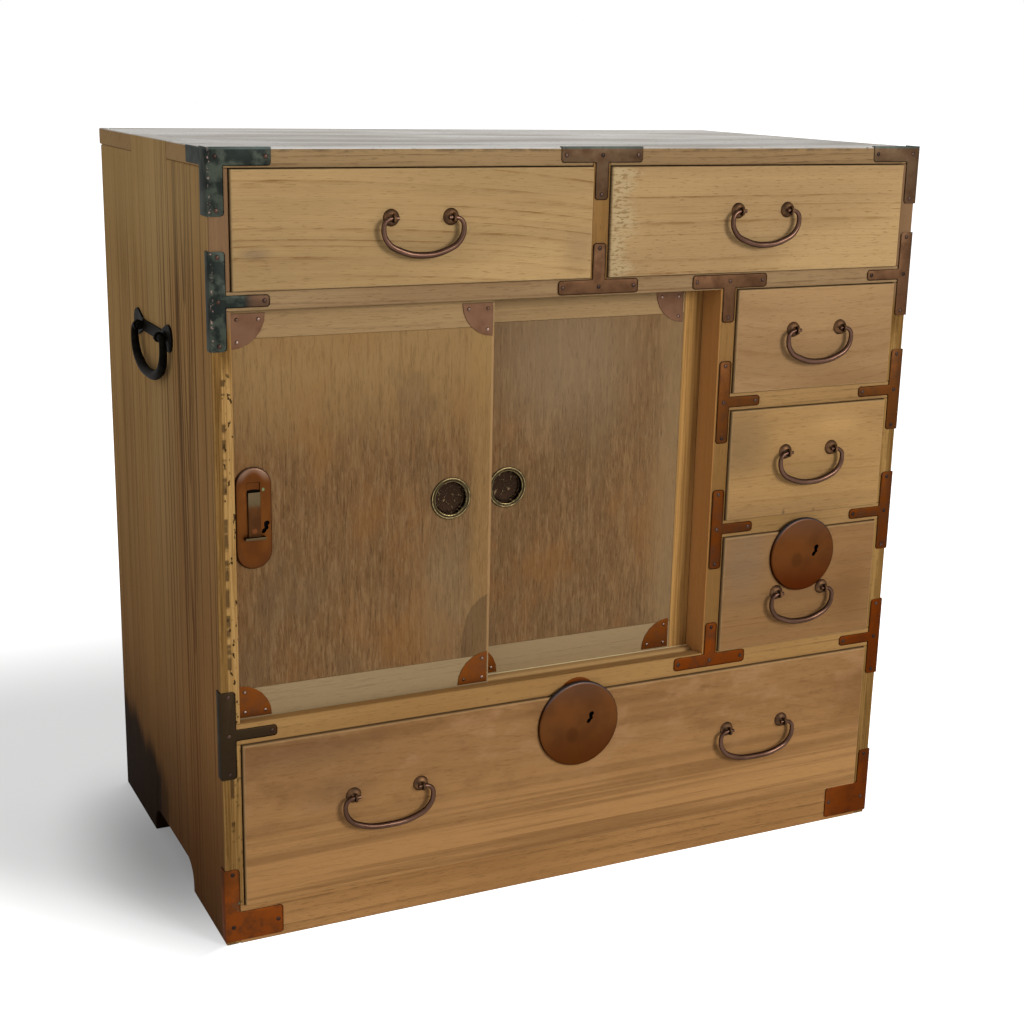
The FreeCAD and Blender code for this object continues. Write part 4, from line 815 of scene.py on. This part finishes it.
for side in ("left", "right"):
    node = side + "_door_finger_pull"
    cup_low, cup_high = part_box(node)
    x, z = (cup_low.x + cup_high.x) / 2, (cup_low.z + cup_high.z) / 2
    radius, front = (cup_high.x - cup_low.x) / 2, cup_low.y
    rim_wire, lip_wire, step_wire = 0.0012, 0.0008, 0.0007
    rim = ring("rim", radius - rim_wire, rim_wire, (x, front + 0.0007, z), flat=0.7)
    for quarter in range(4):
        groove = added(bpy.ops.mesh.primitive_cylinder_add, "groove", vertices=16, radius=0.0011,
                       depth=0.008)
        angle, reach = math.radians(45 + 90 * quarter), radius - 0.001
        groove.data.transform(
            Matrix.Translation((x + reach * math.cos(angle), front, z + reach * math.sin(angle)))
            @ Matrix.Rotation(-angle, 4, "Y") @ Matrix.Rotation(math.pi / 2, 4, "Y"))
        rim = carved(rim, groove)
    lip = ring("lip", radius - 0.0038, lip_wire, (x, front + 0.0011, z))
    step = ring("step", radius - 0.0062, step_wire, (x, front + 0.0052, z))
    cup = eased(copied(node, node + "_cup"), width=0.0004, angle=30)
    pull = joined([cup, rim, lip, step], node + "_brass")
    brass = Finish(node + "_metal", metal=1.0)
    rub = brass.noise((120, 120, 120), 6.0, 4.0, 0.6)
    leaves = brass.noise((75, 1, 75), 3.0, 1.0, 0.4, 1.8)
    vein = (leaves * 4).saw()
    vein = vein.rise(0.32, 0.46) - vein.rise(0.46, 0.62)
    # The rim is dark, with two thin rings of painted highlight.
    bright, shade = (0.27, 0.2, 0.09), (0.019, 0.013, 0.006)
    rim_tone_with_highlights = brass.grade(brass.away((x, front, z), (radius, 1, radius)),
                             [(0.77, shade), (0.8, bright), (0.83, shade), (0.91, shade),
                              (0.94, bright), (0.97, shade)])
    sunk = brass.y.rise(front + 0.002, front + 0.0032)
    floor_tone = brass.blend(vein, (0.019, 0.01, 0.006), (0.14, 0.095, 0.05))
    metal = brass.coats(rim_tone_with_highlights, (rub.rise(0.45, 0.6) * 0.75, (0.036, 0.027, 0.013)),
                        (sunk, floor_tone))
    fitted(pull, node, brass.spread(metal, 0.26 + sunk * 0.2 + rub * 0.1,
                                    rub * 0.3 + vein * sunk, 0.0012))

# ---------------------------------------- lock discs and their locks
# A domed copper disc with a curved keyhole covers each drawer lock, whose iron case sits behind
# the front and whose bolt rises into the shelf above. The left door has an oval plate with a
# sliding latch strip.


def rod(name, points, thickness):
    """A round rod through the points, each with its share of the full thickness."""
    made = added(bpy.ops.curve.primitive_bezier_curve_add, name)
    line = made.data.splines[0]
    line.bezier_points.add(len(points) - 2)
    for knot, (place, share) in zip(line.bezier_points, points):
        knot.co = place
        knot.radius = share
        knot.handle_left_type = knot.handle_right_type = "AUTO"
    made.data.dimensions = "3D"
    made.data.resolution_u = 10
    made.data.bevel_depth = thickness / 2
    made.data.bevel_resolution = 4
    made.data.use_fill_caps = True
    bpy.ops.object.convert(target="MESH")
    bpy.ops.object.shade_smooth_by_angle(angle=math.radians(50))
    return made


# Holes are painted near-black inside, painted shade in the hollow.
key_reach, hole_painted_shade = (0.007, 1, 0.009), (0.003, 0.002, 0.002)


def keyhole(made, x, front, z, size):
    """Cuts a curved slot, with its head up on the right, into the front of the plate."""
    for u, v, reach, width, lean in ((0.001, 0.0034, 0.0026, 0.0021, 25),
                                     (0.0006, 0.0006, 0.003, 0.0018, 105),
                                     (-0.0013, -0.0029, 0.0027, 0.0018, 50)):
        cutter = added(bpy.ops.mesh.primitive_cylinder_add, "cutter", vertices=20, radius=1,
                       depth=0.006)
        cutter.data.transform(
            Matrix.Translation((x + u * size, front, z + v * size))
            @ to_front @ Matrix.Rotation(math.radians(lean), 4, "Z")
            @ Matrix.Diagonal((reach * size, width * size, 1, 1)))
        made = carved(made, cutter)
    return made


def disc_metal(name, low, high, key_x, key_z, hole):
    """Orange-brown copper; upper rim greyed, a painted highlight; keyhole black, painted shade."""
    metal = Finish(name, metal=1.0)
    cloud = metal.noise((22, 22, 22), 2.0, 3.0, 0.6)
    grain = metal.noise((260, 260, 260), 2.0, 3.0, 0.6)
    light, dark, foot = ((0.086, 0.03, 0.008), (0.064, 0.023, 0.007), (0.049, 0.012, 0.0015))
    if low.z > 0.2:  # the small drawer's disc is redder
        light, dark, foot = ((0.076, 0.025, 0.006), (0.056, 0.0185, 0.005), (0.04, 0.006, 0.0003))
    middle, half = (low + high) / 2, (high - low) / 2
    rim = 1 - metal.near((middle.x, high.y, middle.z), (half.x, 1, half.z), 0.05)
    worn = metal.near((middle.x - 0.008, low.y, low.z + 0.035), (0.009, 1, 0.011), 0.5)
    keyhole_shade = metal.y.rise(hole, hole + 0.0002) * metal.near((key_x, hole, key_z), key_reach, 0.05)
    # Paler above, a painted reflection, and darker at the foot, painted shade over the dome.
    tone = metal.coats(
        metal.blend(cloud.rise(0.38, 0.66), light, dark),
        (metal.z.rise(high.z - 0.03, high.z) * 0.6, (0.064, 0.031, 0.0175)),
        (metal.z.rise(high.z - 0.035, low.z) * 0.85, foot),
        (rim * metal.z.rise(high.z - 0.03, high.z - 0.008), (0.07, 0.065, 0.07)),
        (worn * 0.55, (0.037, 0.012, 0.003)), (keyhole_shade, hole_painted_shade))
    return metal.spread(tone, 0.36 + grain * 0.14, grain, 0.0001)


iron = Finish("lock_iron", metal=0.6)
pitting = iron.noise((300, 300, 300), 2.0, 4.0, 0.7)
iron.spread(iron.blend(pitting, (0.09, 0.08, 0.07), (0.16, 0.12, 0.09)), 0.5 + pitting * 0.3,
            pitting, 0.0003)
face_y, before_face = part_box("bottom_drawer_front")[0].y, -0.2065
for node, radius, side_step, rise in (("bottom_drawer_lock", 0.046, 0.0125, 0.0055),
                                      ("lower_small_drawer_lock", 0.0405, 0.0155, 0.003)):
    lock_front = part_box(node)[0].y
    disc_x, _, disc_z = next(place for place in centres(node) if place[1] < before_face)
    disc = added(bpy.ops.mesh.primitive_cylinder_add, node + "_disc", vertices=96, radius=radius,
                 depth=face_y - lock_front)
    picked(disc, "polygons", lambda face: face.normal.z > 0.9)
    bpy.ops.mesh.bevel(offset=0.0026, segments=5, profile=0.55, affect="EDGES")
    bpy.ops.object.mode_set(mode="OBJECT")
    disc.data.transform(Matrix.Translation((disc_x, (face_y + lock_front) / 2, disc_z)) @ to_front)
    key_x, key_z = disc_x + side_step, disc_z + rise
    disc = keyhole(disc, key_x, lock_front, key_z, size=1.15)
    bpy.ops.object.shade_smooth_by_angle(angle=math.radians(25))
    case = copied(node, node + "_case")
    picked(case, "vertices", lambda corner: corner.co.y < face_y + 0.0005)
    bpy.ops.mesh.delete(type="VERT")
    bpy.ops.object.mode_set(mode="OBJECT")
    fitted(eased(case, width=0.0004), node, iron.material)
    disc_low = Vector((disc_x - radius, lock_front, disc_z - radius))
    disc_high = Vector((disc_x + radius, face_y, disc_z + radius))
    fitted(disc, node, disc_metal(node + "_copper", disc_low, disc_high, key_x, key_z,
                                  lock_front + 0.0003))
    board(node + "_bolt", ease=0.0005, material=iron.material, ending="_iron")

oval_low, oval_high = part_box("oval_lock_plate")
strip_low, strip_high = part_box("latch_slide")
front, strip_x = oval_low.y, (strip_low.x + strip_high.x) / 2
key_x, key_z = -0.3318, 0.4155
oval = eased(copied("oval_lock_plate", "oval_plate"), width=0.0008, segments=3, angle=20)
oval = keyhole(oval, key_x, front, key_z, size=1.1)
copper = Finish("oval_copper", metal=1.0)
glow = copper.noise((40, 40, 25), 3.0, 3.0)
middle = copper.near(((oval_low.x + oval_high.x) / 2, front, (oval_low.z + oval_high.z) / 2),
                     (0.0178, 1, 0.0492), 0.16)
spot = copper.near((-0.3335, front, 0.4515), (0.0016, 1, 0.002), 0.5)
sunk = copper.y.rise(front + 0.0003, front + 0.0005)
# Keyhole and latch slot are painted black inside, painted shade.
shaded_holes = copper.near((key_x, front, key_z), key_reach, 0.05)
shaded_holes = shaded_holes.most(copper.near((strip_x, front, strip_high.z), (0.009, 1, 0.0026), 0.3))
# A darker border is painted shade of the raised shoulder; its paler top a painted highlight.
tone = copper.coats(
    copper.blend(glow.rise(0.35, 0.65), (0.085, 0.028, 0.006), (0.064, 0.02, 0.005)),
    ((1 - middle) * 0.5, (0.058, 0.019, 0.006)),
    ((1 - middle) * copper.z.rise(oval_high.z - 0.016, oval_high.z - 0.004), (0.12, 0.07, 0.045)),
    (spot * 0.8, (0.11, 0.165, 0.077)), (sunk * shaded_holes, hole_painted_shade))
fitted(oval, "oval_lock_plate", copper.spread(tone, 0.38 + glow * 0.15, glow, 0.0002))
copper = Finish("latch_copper", metal=1.0)
haze = copper.noise((80, 80, 50), 3.0, 3.0)
rivet = copper.near((strip_x, strip_low.y + 0.001, strip_low.z + 0.008), (0.0026, 1, 0.0026), 0.25)
# Its top is painted paler, a painted highlight standing for the strip's bent top.
tone = copper.coats(
    copper.blend(haze.rise(0.35, 0.65), (0.047, 0.018, 0.006), (0.036, 0.014, 0.005)),
    (rivet * 0.8, (0.1, 0.032, 0.011)),
    (copper.z.rise(strip_high.z - 0.016, strip_high.z - 0.01) * 0.8, (0.05, 0.038, 0.02)),
    (copper.y.rise(strip_low.y + 0.004, strip_low.y + 0.001) * 0.7, (0.07, 0.05, 0.025)))
copper.spread(tone, 0.36 + haze * 0.2, haze, 0.0002)
latch = eased(copied("latch_slide", "latch_strip"), width=0.0004)
fitted(latch, "latch_slide", copper.material)

# ---------------------------------------- bails and their eyes
# Each drawer has a copper rod bent to a bail, thickest at its middle, whose thin ends turn
# in two ring posts that rise from domed rosettes.

bail_copper = Finish("bail_copper", metal=1.0)
wear = bail_copper.noise((40, 40, 40), 3.0, 3.0)
bail_tone = bail_copper.blend(wear.rise(0.35, 0.65), (0.08, 0.042, 0.028), (0.055, 0.028, 0.018))
bail_copper.spread(bail_tone, 0.24 + wear * 0.12)
eye_bronze = Finish("eye_bronze", metal=1.0)
wear = eye_bronze.noise((120, 120, 120), 3.0, 3.0)
eye_tone = eye_bronze.blend(wear.rise(0.35, 0.65), (0.105, 0.053, 0.025), (0.053, 0.029, 0.016))
eye_bronze.spread(eye_tone, 0.42 + wear * 0.2, wear, 0.0004)
pivots = {joint["child"]: Vector(joint["pos_m"]) for joint in frame["joints"]
          if joint["child"].endswith("_bail")}


def bail(name, across, thick, tuck, tip, hook, shoulder, metal):
    """A rod bent down from one tip to its lowest and thickest point, and up to the other tip.

    Each knot says how far out and up it is from the middle, and its share of the thickness."""
    low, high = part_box(name)
    half = (high - low).dot(across) / 2 - thick * tuck
    sag = pivots[name].z - low.z - thick / 2 - hook
    knots = [(-tip, 0, 0.6), (-half + hook, 0, 0.64), (-half + hook * 0.29, -hook * 0.29, 0.68),
             (-half, -hook, 0.75), (-half + shoulder * 0.24, -hook - sag * 0.5, 0.86),
             (-half + shoulder, -hook - sag * 0.82, 0.95), (0, -hook - sag, 1.0)]
    knots += [(-out, up, share) for out, up, share in reversed(knots[:-1])]
    points = [(pivots[name] + across * out + Vector((0, 0, up)), share)
              for out, up, share in knots]
    fitted(rod(name + "_rod", points, thick), name, metal.material)


for name in pivots:
    if "carry" not in name:
        bail(name, Vector((1, 0, 0)), thick=0.0062, tuck=0.35, hook=0.0084, shoulder=0.016,
             tip=0.0305 if "bottom" in name else 0.0245, metal=bail_copper)


def ring_post(name, place):
    """A domed rosette with a neck and a ring, its bore level."""
    stand_off, neck_middle = Vector((0, 0.0074, 0)), Vector((0, 0.0042, 0))
    base = dome(name, radius=0.008, height=0.0042, place=place, sides=24)
    eye = added(bpy.ops.mesh.primitive_torus_add, "eye", major_radius=0.0033,
                minor_radius=0.0013, major_segments=20, minor_segments=10)
    eye.data.transform(Matrix.Translation(place - stand_off)
                       @ Matrix.Rotation(math.pi / 2, 4, "Y"))
    neck = added(bpy.ops.mesh.primitive_cone_add, "neck", vertices=16, radius1=0.0042,
                 radius2=0.0018, depth=0.0035)
    neck.data.transform(Matrix.Translation(place - neck_middle) @ to_front)
    return joined([base, eye, neck], name)


for drawer in drawers:
    node = drawer + "_handle_eyes"
    face_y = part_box(node)[1].y
    posts = [ring_post("post", Vector((x, face_y, z))) for x, y, z in centres(node)]
    posts = joined(posts, node + "_posts")
    bpy.ops.object.shade_smooth_by_angle(angle=math.radians(40))
    fitted(posts, node, eye_bronze.material)

# ---------------------------------------- carrying bails
# Blackened wrought iron at each side: a winged plate with two ring posts, and a heavy bail
# that is thickest at its middle.

black_iron = Finish("black_iron", metal=0.0, gloss=0.012)
scale = black_iron.noise((150, 150, 150), 3.0, 4.0, 0.65)
iron_tone = black_iron.blend(scale.rise(0.4, 0.7), (0.0035, 0.0028, 0.002), (0.011, 0.009, 0.006))
black_iron.spread(iron_tone, 0.42 + scale * 0.25, scale, 0.0005)
for side in ("left", "right"):
    bail(side + "_carry_bail", Vector((0, 1, 0)), thick=0.01, tuck=0.3, hook=0.009,
         shoulder=0.02, tip=0.0355, metal=black_iron)
    board(side + "_carry_plate", ease=0.0005, material=black_iron.material, ending="_iron")
